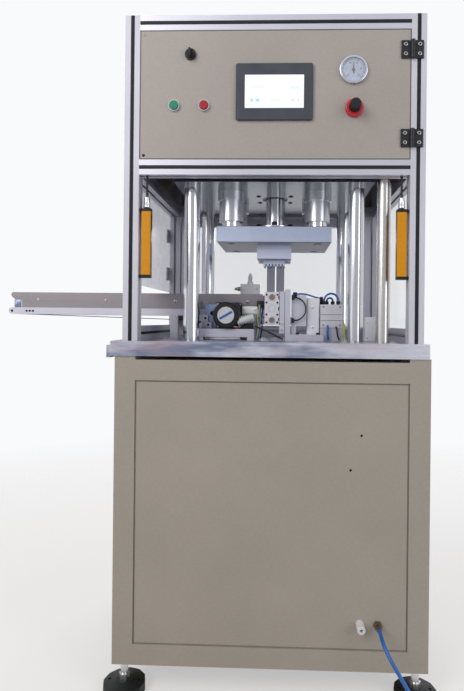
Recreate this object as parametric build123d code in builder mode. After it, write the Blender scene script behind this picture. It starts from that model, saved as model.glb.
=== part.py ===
from build123d import *
import math
import os

os.makedirs("parts", exist_ok=True)

# Crimp sealing machine: a bench press in a guard frame, on a closed cabinet.
# Millimetres. The origin is on the floor, midway between the four feet.
# +X is to the right of someone who faces the machine, +Y is away from them, +Z is up.

# Cabinet and table
TABLE_Z = 950.0            # top of the table plate above the floor
TABLE_W, TABLE_D, TABLE_T = 850.0, 650.0, 40.0
TABLE_CHAMFER = 3.0
TABLE_SHIFT = -8.0         # the plate lies this far off the middle of the cabinet
EDGE_BAR_T, EDGE_BAR_H, EDGE_BAR_DROP = 10.0, 33.0, 12.0
CABINET_W, CABINET_D = 840.0, 640.0
CABINET_Z = 84.0           # underside of the cabinet above the floor
CABINET_TUBE, CABINET_WALL = 55.0, 3.0
RAIL_DROP = 10.0           # the top rails stop this far below the table plate
POST_PLUG = 25.0           # solid threaded end in the foot of each cabinet post
PANEL_GAP = 4.0            # dark joint round each raised cabinet panel
PANEL_PLATE, PANEL_RAISE, PANEL_RECESS = 3.0, 12.0, 3.0
PAN_T = 2.0
LOCK_HOLE = 7.0
LOCK_HOLE_UPPER, LOCK_HOLE_LOWER = (240.0, 706.0), (212.0, 614.0)

# Levelling feet
PAD_D, PAD_RIM_H, PAD_H, PAD_HUB_D, PAD_SIDES = 114.0, 24.0, 32.0, 44.0, 12
STEM_D, STEM_IN_PAD, STEM_IN_POST = 20.0, 14.0, 22.0
FOOT_NUT_W, FOOT_NUT_H, FOOT_HEX_H = 26.0, 8.0, 15.0
ANCHOR_D, ANCHOR_OFFSET = 9.0, 40.0

# Guard frame of slotted aluminium profile
GUARD_W, GUARD_D, GUARD_H = 800.0, 640.0, 870.0
PROFILE = 40.0
SLOT_W, SLOT_LIP, SLOT_ROOM_W, SLOT_ROOM_D = 8.0, 4.5, 17.0, 6.5
MID_BEAM = 445.0           # underside of the middle beams above the table
CLAD_T, CLAD_RECESS = 3.0, 3.0
PANE_T = 6.0

# Hinges
HINGE_H, LEAF_REACH, LEAF_T = 47.0, 29.0, 4.0
BARREL_D, HINGE_PIN_D, PIN_STANDOFF = 12.0, 6.0, 6.5
KNUCKLE_H, KNUCKLE_GAP = 16.0, 0.5
PIN_SHIFT = 2.0            # pin line outside the edge of the opening
RUNNING = 0.05             # radial clearance of pins and shafts
DOOR_GAP = 3.0

# Control door
DOOR_SHEET, DOOR_RETURN = 2.5, 20.0
HINGE_UP, HINGE_DOWN = 774.0, 541.0     # hinge centres above the table
HMI_W, HMI_H, HMI_PROUD, HMI_DEEP = 204.0, 150.0, 8.0, 45.0
HMI_LIP, SCREEN_W, SCREEN_H, SCREEN_RECESS = 7.0, 156.0, 88.0, 1.5
HMI_AT = (0.0, 663.0)
SWITCH_BEZEL_D, SWITCH_BEZEL_H, SWITCH_BARREL_D, SWITCH_DEEP = 30.0, 6.0, 22.0, 42.0
CAP_D, CAP_H, CAP_STEM_D, CAP_STEM_L = 23.6, 5.0, 17.6, 30.0
BUTTON_TRAVEL = 4.0
SLIDE_GAP = 0.1            # radial clearance of buttons and slides
SELECTOR_AT = (-224.0, 764.0)
GREEN_AT, RED_AT = (-267.0, 628.0), (-187.0, 628.0)
GRIP_W, GRIP_H = 7.0, 11.0
GAUGE_AT = (208.0, 721.0)
GAUGE_D, GAUGE_RIM, GAUGE_PROUD, GAUGE_CASE_D, GAUGE_DEEP = 75.0, 6.0, 9.0, 64.0, 34.0
DIAL_RECESS = 7.0
NEEDLE_L, NEEDLE_TAIL, NEEDLE_W, NEEDLE_T, NEEDLE_HUB_D = 24.0, 8.0, 2.2, 1.2, 7.0
NEEDLE_LIFT, PIVOT_D = 1.5, 2.5
REGULATOR_AT = (211.0, 620.0)
COLLAR_D, COLLAR_H, COLLAR_STEM_D, COLLAR_DEEP = 48.0, 12.0, 30.0, 46.0
KNOB_D, KNOB_H, KNOB_STEM_D, KNOB_FLATS = 30.0, 26.0, 14.0, 12

# Left door
LEFT_DOOR_UP, HANDLE_SET = 160.0, 45.0     # lower edge above the table, handle from the edge

# Press
PRESS_DEPTH = 292.0        # press centre behind the front of the guard frame
COLUMN_D, COLUMN_X, COLUMN_Y = 45.0, 235.0, 172.0
COLUMN_NECK_D, COLUMN_NUT_D, COLUMN_NUT_H = 33.0, 52.0, 20.0
TOP_PLATE_W, TOP_PLATE_D, TOP_PLATE_T, TOP_PLATE_Z = 560.0, 450.0, 40.0, 443.0
ROD_HOLE_D = 80.0
ROD_D = 55.0
GUIDE_D, GUIDE_X, GUIDE_Y, GUIDE_L = 55.0, 130.0, 90.0, 215.0
BUSH_D, BUSH_H, BUSH_COLLAR_D, BUSH_COLLAR_H, BUSH_SPIGOT_D = 73.0, 89.0, 82.0, 27.0, 66.0
RAM_W, RAM_D, RAM_T, RAM_Z = 340.0, 250.0, 48.0, 290.0
RAM_SCREW_D, RAM_SCREW_HEAD_D, RAM_SCREW_HEAD_H = 17.0, 26.0, 17.0
FLANGE_D, FLANGE_T = 124.0, 14.0
FLANGE_BOLTS, FLANGE_BOLT_CIRCLE, FLANGE_BOLT_D = 4, 98.0, 13.0
TOOL_W, TOOL_L, TOOL_H = 105.0, 134.0, 44.0
TOOL_SLOT_W, TOOL_SLOT_H, TOOL_SHANK_D, TOOL_SHANK_DEEP = 14.0, 6.0, 20.0, 30.0
DIE_W, DIE_L, DIE_H = 66.0, 76.0, 18.0
DIE_GROOVES, DIE_GROOVE_W, DIE_GROOVE_DEEP, DIE_PITCH = 6, 4.0, 7.0, 10.0
HEAD_W, HEAD_H = 176.0, 40.0
BARREL_BORE, BARREL_WALL, BARREL_H = 125.0, 6.0, 190.0
PISTON_H, PISTON_DROP = 40.0, 10.0
TIE_D, TIE_SPACING, TIE_NUT_D, TIE_NUT_H = 16.0, 138.0, 26.0, 14.0

# Conveyor
CONVEYOR_LEFT, CONVEYOR_RIGHT = -833.0, 10.0
GUIDE_FACE = 42.0          # inner face of each guide plate from the belt's centre line
BEAM_Z, BEAM_H, BEAM_T, BEAM_INNER = 71.0, 21.0, 12.0, 37.0
PLATE_H, PLATE_T = 48.0, 3.0
# Left end of a guide plate, and the slit behind it: from the nose of the beams, above them
GUIDE_TIP = ((17.0, 0.0), (17.0, 26.0), (8.0, 34.0), (5.0, 41.0), (10.0, 48.0))
TIP_SLIT = ((37.0, 40.0), (0.0, 24.0))
FRONT_PLATE_END = -34.0    # the front guide plate stops before the clamp finger
NOSE_D, NOSE_AXLE_D = 16.0, 6.0
DRIVE_D, DRIVE_SHAFT_D, DRIVE_X = 34.0, 12.0, -137.0
CHEEK_W, CHEEK_DROP = 72.0, 24.0
BELT_T, BELT_GAP, BELT_W = 2.0, 0.3, 68.0
ROLLER_SIDE_GAP = 1.0
STAND_X = (-310.0, -66.0)
STAND_W, STAND_FOOT = 24.0, 10.0
MOTOR_D, MOTOR_L, MOTOR_SQUARE, MOTOR_FLANGE_T = 78.0, 80.0, 80.0, 12.0
MOTOR_GAP = 12.0           # from the motor's flange to the conveyor beam
DISC_D, DISC_T, DISC_SLOT, DISC_GAP = 49.0, 5.0, 6.0, 1.0
BASE_BAR_X0, BASE_BAR_X1, BASE_BAR_LEG, BASE_BAR_D = -226.0, -56.0, 9.0, 78.0
BASE_BAR_FOOT_W = 20.0
END_PLATE_T, END_PLATE_H = 8.0, 118.0
NOZZLE_X0, NOZZLE_X1, NOZZLE_Z0, NOZZLE_H = -112.0, -49.0, 146.0, 32.0
NOZZLE_Y0, NOZZLE_D, NOZZLE_BRACKET_T = 30.0, 36.0, 8.0
TIP_STEPS = ((10.5, 8.0), (7.0, 20.0), (4.5, 8.0))     # radius and height of each step

# Clamp cylinder and pusher
CLAMP_X0, CLAMP_X1, CLAMP_Z0, CLAMP_Z1 = -25.0, 18.0, 45.0, 142.0
CLAMP_L, CLAMP_ROD_D, CLAMP_ROD_EDGE = 60.0, 18.0, 15.0
CLAMP_PLATE_T, CLAMP_STROKE, CLAMP_STOP_GAP = 10.0, 18.0, 1.0
FINGER_SIDE, FINGER_H = 5.0, 38.0
BRACKET_A, BRACKET_B = 16.0, 17.0
BRACKET_A_Z0, BRACKET_TOP = 21.0, 150.0
BRACKET_FOOT_W, BRACKET_FOOT_D, BRACKET_FOOT_H = 97.0, 24.0, 18.0
SENSOR_X0, SENSOR_X1, SENSOR_Z0, SENSOR_Z1, SENSOR_T = 54.0, 98.0, 44.0, 135.0, 5.0
SENSOR_LEG = 14.0
LOOP_Z0, LOOP_Z1, LOOP_OUT, LOOP_D, LOOP_PLUG = 59.0, 127.0, 8.0, 4.0, 14.0
PUSHER_X0, PUSHER_X1, PUSHER_Z0, PUSHER_Z1, PUSHER_D = 140.0, 206.0, 37.0, 108.0, 56.0
PUSHER_Y = -112.0
PUSHER_GAP, SLIDER_W, SLIDER_TOP, PUSHER_BASE_H = 3.0, 37.0, 126.0, 15.0
PUSHER_ROD_D, PUSHER_ROD_SPREAD, PUSHER_ROD_L = 12.0, 40.0, 55.0
TUBE_D, TUBE_LIFT = 6.0, 12.0
TUBE_ARCS = ((12.0, 54.0, -14.0), (22.0, 40.0, 12.0))  # both ends on the body, set back

# Light curtain, riser, junction box
CURTAIN_X0, CURTAIN_W, CURTAIN_D = 328.0, 26.0, 22.0
CURTAIN_Z0, CURTAIN_Z1, CURTAIN_SET = 178.0, 348.0, 5.0
CURTAIN_CAP_H, DOME_D, DOME_H, DOME_ROUND, CURTAIN_CABLE_D = 8.0, 14.0, 28.0, 3.0, 6.0
CURTAIN_LUG = 16.0
CURTAIN_WINDOW_W, CURTAIN_WINDOW_DEEP = 16.0, 2.0
RISER_D, RISER_WALL, RISER_X, RISER_TOP, RISER_SET = 38.0, 1.5, 303.0, 520.0, 3.0
BOX_X0, BOX_X1, BOX_H, BOX_Y, BOX_D, BOX_LID = 279.0, 318.0, 72.0, -70.0, 60.0, 12.0

# Fittings and the air hose on the front of the cabinet
GLAND_AT, GLAND_D, GLAND_L, GLAND_HOLE_D = (240.0, 209.0), 22.0, 34.0, 8.0
INLET_AT, INLET_D, INLET_L, INLET_HEX = (287.0, 207.0), 14.0, 16.0, 21.0
INLET_HEX_T = 9.0
HOSE_D = 10.0

# Values worked out from the sizes above
FRONT = -GUARD_D / 2
REAR = GUARD_D / 2
PRESS_Y = FRONT + PRESS_DEPTH
SIDE_X = GUARD_W / 2
INNER_X = SIDE_X - PROFILE
INNER_Y = REAR - PROFILE
MID_Z0 = TABLE_Z + MID_BEAM
MID_Z1 = MID_Z0 + PROFILE
TOP_Z1 = TABLE_Z + GUARD_H
TOP_Z0 = TOP_Z1 - PROFILE
POST_X = (CABINET_W - CABINET_TUBE) / 2
POST_Y = (CABINET_D - CABINET_TUBE) / 2
POST_TOP = TABLE_Z - TABLE_T
RAIL_TOP = POST_TOP - RAIL_DROP
CABINET_FRONT = -CABINET_D / 2
PANEL_FACE = CABINET_FRONT + PANEL_RECESS
RAIL_UNDER = RAIL_TOP - CABINET_TUBE
PAN_Z = CABINET_Z + CABINET_TUBE


def facing(y):
    """Upright plane across the machine at y; its normal looks at the operator."""
    return Plane(origin=(0, y, 0), x_dir=(1, 0, 0), z_dir=(0, -1, 0))


def sideways(x):
    """Upright plane along the machine at x; its normal looks to the right."""
    return Plane(origin=(x, 0, 0), x_dir=(0, 1, 0), z_dir=(1, 0, 0))


def on_door(spot):
    """Centre of something on the control door, from (x, height above the table)."""
    return (spot[0], TABLE_Z + spot[1])


def block(x, y, z, mode=Mode.ADD):
    """Box between pairs of x, y and z in the active part."""
    with Locations(((x[0] + x[1]) / 2, (y[0] + y[1]) / 2, (z[0] + z[1]) / 2)):
        Box(x[1] - x[0], y[1] - y[0], z[1] - z[0], mode=mode)


def save(name, part):
    """Label a finished piece and write it."""
    part.label = name
    export_step(part, f"parts/{name}.step")


# Levelling feet: a round pad with two anchor holes, and a threaded stem with its nut
def foot_pads():
    with BuildPart() as foot_pad:
        with BuildSketch(Plane.XZ):
            with BuildLine():
                Polyline((STEM_D / 2, 0), (PAD_D / 2, 0), (PAD_D / 2, PAD_RIM_H),
                         (PAD_HUB_D / 2 + 6, PAD_RIM_H + 6), (PAD_HUB_D / 2, PAD_H),
                         (STEM_D / 2, PAD_H), close=True)
            make_face()
        revolve(axis=Axis.Z)
        with BuildSketch(Plane.XY):
            RegularPolygon(PAD_D / 2, PAD_SIDES)
        extrude(amount=PAD_H, mode=Mode.INTERSECT)
        with BuildSketch(Plane.XY):
            Circle(STEM_D / 2)
        extrude(amount=PAD_H - STEM_IN_PAD)
        with BuildSketch(Plane.XY):
            with Locations((-ANCHOR_OFFSET, 0), (ANCHOR_OFFSET, 0)):
                Circle(ANCHOR_D / 2)
        extrude(amount=PAD_H, mode=Mode.SUBTRACT)
    with BuildPart() as pads:
        with GridLocations(2 * POST_X, 2 * POST_Y, 2, 2):
            add(foot_pad.part)
    save("foot_pads", pads.part)


def foot_stems():
    with BuildPart() as stem:
        with BuildSketch(Plane.XY.offset(PAD_H - STEM_IN_PAD)):
            Circle(STEM_D / 2)
        extrude(amount=CABINET_Z + STEM_IN_POST - PAD_H + STEM_IN_PAD)
        with BuildSketch(Plane.XY.offset(CABINET_Z - FOOT_NUT_H)):
            RegularPolygon(FOOT_NUT_W / 2, 6, major_radius=False)
        extrude(amount=FOOT_NUT_H)
        with BuildSketch(Plane.XY.offset(PAD_H)):
            RegularPolygon(FOOT_NUT_W / 2, 6, major_radius=False)
        extrude(amount=FOOT_HEX_H)
    with BuildPart() as stems:
        with GridLocations(2 * POST_X, 2 * POST_Y, 2, 2):
            add(stem.part)
    save("foot_stems", stems.part)


# Cabinet frame: square tube, with a threaded plug in the foot of each post
def tube_section():
    Rectangle(CABINET_TUBE, CABINET_TUBE)
    offset(amount=-CABINET_WALL, kind=Kind.INTERSECTION, mode=Mode.SUBTRACT)


def cabinet_posts():
    with BuildPart() as post:
        with BuildSketch(Plane.XY.offset(CABINET_Z)):
            tube_section()
        extrude(amount=POST_TOP - CABINET_Z)
        with BuildSketch(Plane.XY.offset(CABINET_Z)):
            Rectangle(CABINET_TUBE, CABINET_TUBE)
            Circle(STEM_D / 2, mode=Mode.SUBTRACT)
        extrude(amount=POST_PLUG)
    with BuildPart() as posts:
        with GridLocations(2 * POST_X, 2 * POST_Y, 2, 2):
            add(post.part)
    save("cabinet_posts", posts.part)


def cabinet_rails():
    across = CABINET_W - 2 * CABINET_TUBE
    along = CABINET_D - 2 * CABINET_TUBE
    heights = (CABINET_Z + CABINET_TUBE / 2, RAIL_TOP - CABINET_TUBE / 2)
    with BuildPart() as rails:
        for z in heights:
            for y in (-POST_Y, POST_Y):
                with BuildSketch(Plane(origin=(-across / 2, y, z), z_dir=(1, 0, 0))):
                    tube_section()
                extrude(amount=across)
            for x in (-POST_X, POST_X):
                with BuildSketch(Plane(origin=(x, -along / 2, z), z_dir=(0, 1, 0))):
                    tube_section()
                extrude(amount=along)
    save("cabinet_rails", rails.part)


def raised_panel(plane, width, height, centre):
    """Panel that fills an opening, raised in the middle, with a groove all round."""
    with BuildSketch(plane.offset(-PANEL_RAISE - PANEL_RECESS - PANEL_PLATE)) as sheet:
        with Locations(centre):
            Rectangle(width, height)
    extrude(sheet.sketch, amount=PANEL_PLATE)
    with BuildSketch(plane.offset(-PANEL_RAISE - PANEL_RECESS)) as raised:
        with Locations(centre):
            Rectangle(width - 2 * PANEL_GAP, height - 2 * PANEL_GAP)
    extrude(raised.sketch, amount=PANEL_RAISE)


def cabinet_panels():
    across = CABINET_W - 2 * CABINET_TUBE
    along = CABINET_D - 2 * CABINET_TUBE
    height = RAIL_UNDER - PAN_Z
    centre = (0, PAN_Z + height / 2)
    with BuildPart() as front_panel:
        raised_panel(facing(CABINET_FRONT), across, height, centre)
        with BuildSketch(facing(PANEL_FACE)):
            with Locations(LOCK_HOLE_UPPER, LOCK_HOLE_LOWER):
                Circle(LOCK_HOLE / 2)
            with Locations(GLAND_AT):
                Circle(GLAND_D / 2)
            with Locations(INLET_AT):
                Circle(INLET_D / 2)
        extrude(amount=-PANEL_RAISE - PANEL_PLATE, mode=Mode.SUBTRACT)
    save("cabinet_front_panel", front_panel.part)

    with BuildPart() as panels:
        rear = Plane(origin=(0, CABINET_D / 2, 0), x_dir=(-1, 0, 0), z_dir=(0, 1, 0))
        right = sideways(CABINET_W / 2)
        left = Plane(origin=(-CABINET_W / 2, 0, 0), x_dir=(0, -1, 0), z_dir=(-1, 0, 0))
        raised_panel(rear, across, height, centre)
        raised_panel(right, along, height, centre)
        raised_panel(left, along, height, centre)
        with BuildSketch(Plane.XY.offset(PAN_Z - PAN_T)):
            Rectangle(across, along)
        extrude(amount=PAN_T)
        raised = CLAD_RECESS + CLAD_T
        block((-INNER_X, INNER_X), (REAR - raised, REAR - CLAD_RECESS), (MID_Z1, TOP_Z0))
        block((SIDE_X - raised, SIDE_X - CLAD_RECESS), (-INNER_Y, INNER_Y), (MID_Z1, TOP_Z0))
        block((-SIDE_X + CLAD_RECESS, -SIDE_X + raised), (-INNER_Y, INNER_Y), (MID_Z1, TOP_Z0))
        block((-INNER_X, INNER_X), (-INNER_Y, INNER_Y), (TOP_Z1 - raised, TOP_Z1 - CLAD_RECESS))
    save("fixed_panels", panels.part)


# Table plate
def table_plate():
    with BuildPart() as plate:
        with BuildSketch(Plane.XY.offset(TABLE_Z - TABLE_T)):
            with Locations((TABLE_SHIFT, 0)):
                Rectangle(TABLE_W, TABLE_D)
        extrude(amount=TABLE_T)
        chamfer(plate.edges().group_by(Axis.Z)[-1], TABLE_CHAMFER)
        chamfer(plate.edges().filter_by(Axis.Z), TABLE_CHAMFER)
        left = TABLE_SHIFT - TABLE_W / 2
        bar_top = TABLE_Z - EDGE_BAR_DROP
        block((left - EDGE_BAR_T, left), (-CABINET_D / 2, CABINET_D / 2),
              (bar_top - EDGE_BAR_H, bar_top))
    save("table_plate", plate.part)


# Guard frame
def slotted_section():
    """Square profile with a T-slot in the middle of each face."""
    Rectangle(PROFILE, PROFILE)
    with PolarLocations(PROFILE / 2 - SLOT_LIP / 2, 4):
        Rectangle(SLOT_LIP, SLOT_W, mode=Mode.SUBTRACT)
    with PolarLocations(PROFILE / 2 - SLOT_LIP - SLOT_ROOM_D / 2, 4):
        Rectangle(SLOT_ROOM_D, SLOT_ROOM_W, mode=Mode.SUBTRACT)


def guard_frame():
    post_x = SIDE_X - PROFILE / 2
    post_y = REAR - PROFILE / 2
    with BuildPart() as posts:
        with BuildSketch(Plane.XY.offset(TABLE_Z)):
            with GridLocations(2 * post_x, 2 * post_y, 2, 2):
                slotted_section()
        extrude(amount=GUARD_H)
    save("guard_posts", posts.part)

    low, mid, top = (z + PROFILE / 2 for z in (TABLE_Z, MID_Z0, TOP_Z0))
    with BuildPart() as beams:
        for y, z in ((-post_y, mid), (-post_y, top), (post_y, low), (post_y, mid), (post_y, top)):
            with BuildSketch(Plane(origin=(-INNER_X, y, z), x_dir=(0, 1, 0), z_dir=(1, 0, 0))):
                slotted_section()
            extrude(amount=2 * INNER_X)
        for x, z in ((-post_x, mid), (-post_x, top), (post_x, low), (post_x, mid), (post_x, top)):
            with BuildSketch(Plane(origin=(x, -INNER_Y, z), x_dir=(1, 0, 0), z_dir=(0, 1, 0))):
                slotted_section()
            extrude(amount=2 * INNER_Y)
    save("guard_beams", beams.part)


# Hinges: the pin runs along local Z, the fixed leaf lies toward local +X, and the
# barrel stands off toward local -Y from the faces that both leaves are screwed to
def hinge_leaf(side, knuckles, bore_d):
    """One leaf with its knuckles, side +1 for the fixed one and -1 for the moving one."""
    tab = BARREL_D / 2 + KNUCKLE_GAP
    face = PIN_STANDOFF
    ends = sorted((side * tab, side * LEAF_REACH))
    block(ends, (face - LEAF_T, face), (-HINGE_H / 2, HINGE_H / 2))
    for z0, z1 in knuckles:
        block(sorted((0, side * tab)), (face - LEAF_T, face), (z0, z1))
        with BuildSketch(Plane.XY.offset(z0)) as knuckle:
            Circle(BARREL_D / 2)
        extrude(knuckle.sketch, amount=z1 - z0)
    if bore_d:
        with BuildSketch(Plane.XY.offset(-HINGE_H / 2)) as bore:
            Circle(bore_d / 2)
        extrude(bore.sketch, amount=HINGE_H, mode=Mode.SUBTRACT)


def hinge_parts():
    half = KNUCKLE_H / 2
    end = HINGE_H / 2
    with BuildPart() as fixed:
        hinge_leaf(1, ((-end, -half - KNUCKLE_GAP), (half + KNUCKLE_GAP, end)), 0)
        with BuildSketch(Plane.XY.offset(-end)):
            Circle(HINGE_PIN_D / 2)
        extrude(amount=HINGE_H)
    with BuildPart() as moving:
        hinge_leaf(-1, ((-half, half),), HINGE_PIN_D + 2 * RUNNING)
    return fixed.part, moving.part


def pin_planes(x, y, toward, outward, heights):
    """Planes at hinge centres, from the fixed leaf's side and the way the door opens."""
    up = (0, 0, 1) if toward[0] * outward[1] - toward[1] * outward[0] < 0 else (0, 0, -1)
    return [Plane(origin=(x, y, z), x_dir=(toward[0], toward[1], 0), z_dir=up) for z in heights]


PIN_X = INNER_X + PIN_SHIFT
PIN_FRONT_Y = FRONT - PIN_STANDOFF
PIN_REAR_Y = REAR + PIN_STANDOFF
PIN_LEFT_X = -SIDE_X - PIN_STANDOFF
PIN_LEFT_Y = INNER_Y + PIN_SHIFT
LEFT_DOOR_Z0 = TABLE_Z + LEFT_DOOR_UP
LEFT_DOOR_HINGE_SET = 70.0
REAR_DOOR_HINGE_SET = 75.0
REAR_DOOR_Z0 = TABLE_Z + PROFILE + DOOR_GAP
SWING_TOP = MID_Z0 - DOOR_GAP


def hinge_places():
    control = pin_planes(PIN_X, PIN_FRONT_Y, (1, 0), (0, -1),
                         (TABLE_Z + HINGE_UP, TABLE_Z + HINGE_DOWN))
    left = pin_planes(PIN_LEFT_X, PIN_LEFT_Y, (0, 1), (-1, 0),
                      (LEFT_DOOR_Z0 + LEFT_DOOR_HINGE_SET, SWING_TOP - LEFT_DOOR_HINGE_SET))
    rear_heights = (REAR_DOOR_Z0 + REAR_DOOR_HINGE_SET, SWING_TOP - REAR_DOOR_HINGE_SET)
    rear_left = pin_planes(-PIN_X, PIN_REAR_Y, (-1, 0), (0, 1), rear_heights)
    rear_right = pin_planes(PIN_X, PIN_REAR_Y, (1, 0), (0, 1), rear_heights)
    return control, left, rear_left, rear_right


def hinges():
    fixed, moving = hinge_parts()
    control, left, rear_left, rear_right = hinge_places()
    with BuildPart() as mounts:
        with Locations(*control, *left, *rear_left, *rear_right):
            add(fixed)
    save("hinge_mounts", mounts.part)
    with BuildPart() as control_leaves:
        with Locations(*control):
            add(moving)
    save("control_door_hinges", control_leaves.part)
    return moving, left, rear_left, rear_right


# Control door: folded steel sheet with what is mounted in it
def door_span():
    return (-INNER_X + DOOR_GAP, INNER_X - DOOR_GAP), (MID_Z1 + DOOR_GAP, TOP_Z0 - DOOR_GAP)


def control_door():
    (x0, x1), (z0, z1) = door_span()
    centre = ((x0 + x1) / 2, (z0 + z1) / 2)
    with BuildPart() as door:
        with BuildSketch(facing(FRONT)):
            with Locations(centre):
                Rectangle(x1 - x0, z1 - z0)
        extrude(amount=-DOOR_RETURN)
        back = door.faces().sort_by(Axis.Y)[-1]
        offset(amount=-DOOR_SHEET, openings=back)
        with BuildSketch(facing(FRONT)):
            with Locations(on_door(HMI_AT)):
                Rectangle(HMI_W - 2 * HMI_LIP, HMI_H - 2 * HMI_LIP)
            with Locations(on_door(SELECTOR_AT), on_door(GREEN_AT), on_door(RED_AT)):
                Circle(SWITCH_BARREL_D / 2)
            with Locations(on_door(GAUGE_AT)):
                Circle(GAUGE_CASE_D / 2)
            with Locations(on_door(REGULATOR_AT)):
                Circle(COLLAR_STEM_D / 2)
        extrude(amount=-DOOR_SHEET, mode=Mode.SUBTRACT)
    save("control_door", door.part)


def touch_panel():
    with BuildPart() as panel:
        with BuildSketch(facing(FRONT)):
            with Locations(on_door(HMI_AT)):
                RectangleRounded(HMI_W, HMI_H, 6)
        extrude(amount=HMI_PROUD)
        chamfer(panel.faces().sort_by(Axis.Y)[0].edges(), 1.5)
        with BuildSketch(facing(FRONT)):
            with Locations(on_door(HMI_AT)):
                Rectangle(HMI_W - 2 * HMI_LIP, HMI_H - 2 * HMI_LIP)
        extrude(amount=-HMI_DEEP)
        with BuildSketch(facing(FRONT - HMI_PROUD)):
            with Locations(on_door(HMI_AT)):
                Rectangle(SCREEN_W, SCREEN_H)
        extrude(amount=-SCREEN_RECESS, mode=Mode.SUBTRACT)
    save("touch_panel", panel.part)


def switch_bezels():
    """Rings with barrels that hold the selector and the two push buttons."""
    bore = CAP_STEM_D / 2 + SLIDE_GAP
    with BuildPart() as bezels:
        for spot in (SELECTOR_AT, GREEN_AT, RED_AT):
            with BuildSketch(facing(FRONT)):
                with Locations(on_door(spot)):
                    Circle(SWITCH_BEZEL_D / 2)
                    Circle(CAP_D / 2 + SLIDE_GAP, mode=Mode.SUBTRACT)
            extrude(amount=SWITCH_BEZEL_H)
            with BuildSketch(facing(FRONT)):
                with Locations(on_door(spot)):
                    Circle(SWITCH_BARREL_D / 2)
                    Circle(bore, mode=Mode.SUBTRACT)
            extrude(amount=-SWITCH_DEEP)
            with BuildSketch(facing(FRONT)):
                with Locations(on_door(spot)):
                    Circle(SWITCH_BEZEL_D / 2)
                    Circle(bore, mode=Mode.SUBTRACT)
            extrude(amount=1)
    save("switch_bezels", bezels.part)


def cap_and_stem(spot):
    """Button cap above its stem, at rest, in the active part."""
    lift = 1 + BUTTON_TRAVEL + SLIDE_GAP
    with BuildSketch(facing(FRONT - lift)) as head:
        with Locations(on_door(spot)):
            Circle(CAP_D / 2)
    extrude(head.sketch, amount=CAP_H)
    with BuildSketch(facing(FRONT - lift)) as stem:
        with Locations(on_door(spot)):
            Circle(CAP_STEM_D / 2)
    extrude(stem.sketch, amount=-CAP_STEM_L)


def push_buttons():
    for name, spot in (("green_button", GREEN_AT), ("red_button", RED_AT)):
        with BuildPart() as button:
            cap_and_stem(spot)
            rim = button.faces().sort_by(Axis.Y)[0].edges()
            fillet(rim, 1.2)
        save(name, button.part)


def selector_knob():
    lift = 1 + BUTTON_TRAVEL + SLIDE_GAP
    with BuildPart() as knob:
        cap_and_stem(SELECTOR_AT)
        with BuildSketch(facing(FRONT - lift - CAP_H)):
            with Locations(on_door(SELECTOR_AT)):
                SlotOverall(CAP_D - 1, GRIP_W, rotation=90)
        extrude(amount=GRIP_H, taper=4)
    save("selector_knob", knob.part)


def gauge():
    dial_y = FRONT - GAUGE_PROUD + DIAL_RECESS
    at = on_door(GAUGE_AT)
    with BuildPart() as case:
        with BuildSketch(facing(FRONT)):
            with Locations(at):
                Circle(GAUGE_D / 2)
        extrude(amount=GAUGE_PROUD)
        fillet(case.faces().sort_by(Axis.Y)[0].edges(), 3)
        with BuildSketch(facing(FRONT)):
            with Locations(at):
                Circle(GAUGE_CASE_D / 2)
        extrude(amount=-GAUGE_DEEP)
        with BuildSketch(facing(dial_y)):
            with Locations(at):
                Circle(GAUGE_D / 2 - GAUGE_RIM)
        extrude(amount=DIAL_RECESS, mode=Mode.SUBTRACT)
        with BuildSketch(facing(dial_y)):
            with Locations(at):
                Circle(PIVOT_D / 2)
        extrude(amount=NEEDLE_LIFT + NEEDLE_T)
    save("gauge_case", case.part)

    with BuildPart() as needle:
        with BuildSketch(facing(dial_y - NEEDLE_LIFT)):
            with Locations(at):
                Circle(NEEDLE_HUB_D / 2)
            with BuildLine():
                Polyline((at[0] - NEEDLE_W / 2, at[1]), (at[0] - NEEDLE_W / 2, at[1] - NEEDLE_TAIL),
                         (at[0] + NEEDLE_W / 2, at[1] - NEEDLE_TAIL), (at[0] + NEEDLE_W / 2, at[1]),
                         (at[0], at[1] + NEEDLE_L), close=True)
            make_face()
            with Locations(at):
                Circle(PIVOT_D / 2 + RUNNING, mode=Mode.SUBTRACT)
        extrude(amount=NEEDLE_T)
    save("gauge_needle", needle.part)


def regulator():
    at = on_door(REGULATOR_AT)
    with BuildPart() as collar:
        with BuildSketch(facing(FRONT)):
            with Locations(at):
                Circle(COLLAR_D / 2)
        extrude(amount=COLLAR_H)
        fillet(collar.faces().sort_by(Axis.Y)[0].edges(), 4)
        with BuildSketch(facing(FRONT)):
            with Locations(at):
                Circle(COLLAR_STEM_D / 2)
        extrude(amount=-COLLAR_DEEP)
        with BuildSketch(facing(FRONT - COLLAR_H)):
            with Locations(at):
                Circle(KNOB_STEM_D / 2 + RUNNING)
        extrude(amount=-COLLAR_H - COLLAR_DEEP / 2, mode=Mode.SUBTRACT)
    save("regulator_collar", collar.part)

    with BuildPart() as knob:
        with BuildSketch(facing(FRONT - COLLAR_H - KNUCKLE_GAP)):
            with Locations(at):
                Circle(KNOB_D / 2)
                with PolarLocations(KNOB_D / 2 + 1, KNOB_FLATS):
                    Circle(2.2, mode=Mode.SUBTRACT)
        extrude(amount=KNOB_H, taper=2)
        with BuildSketch(facing(FRONT - COLLAR_H - KNUCKLE_GAP)):
            with Locations(at):
                Circle(KNOB_STEM_D / 2)
        extrude(amount=-COLLAR_DEEP / 2)
    save("regulator_knob", knob.part)


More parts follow.
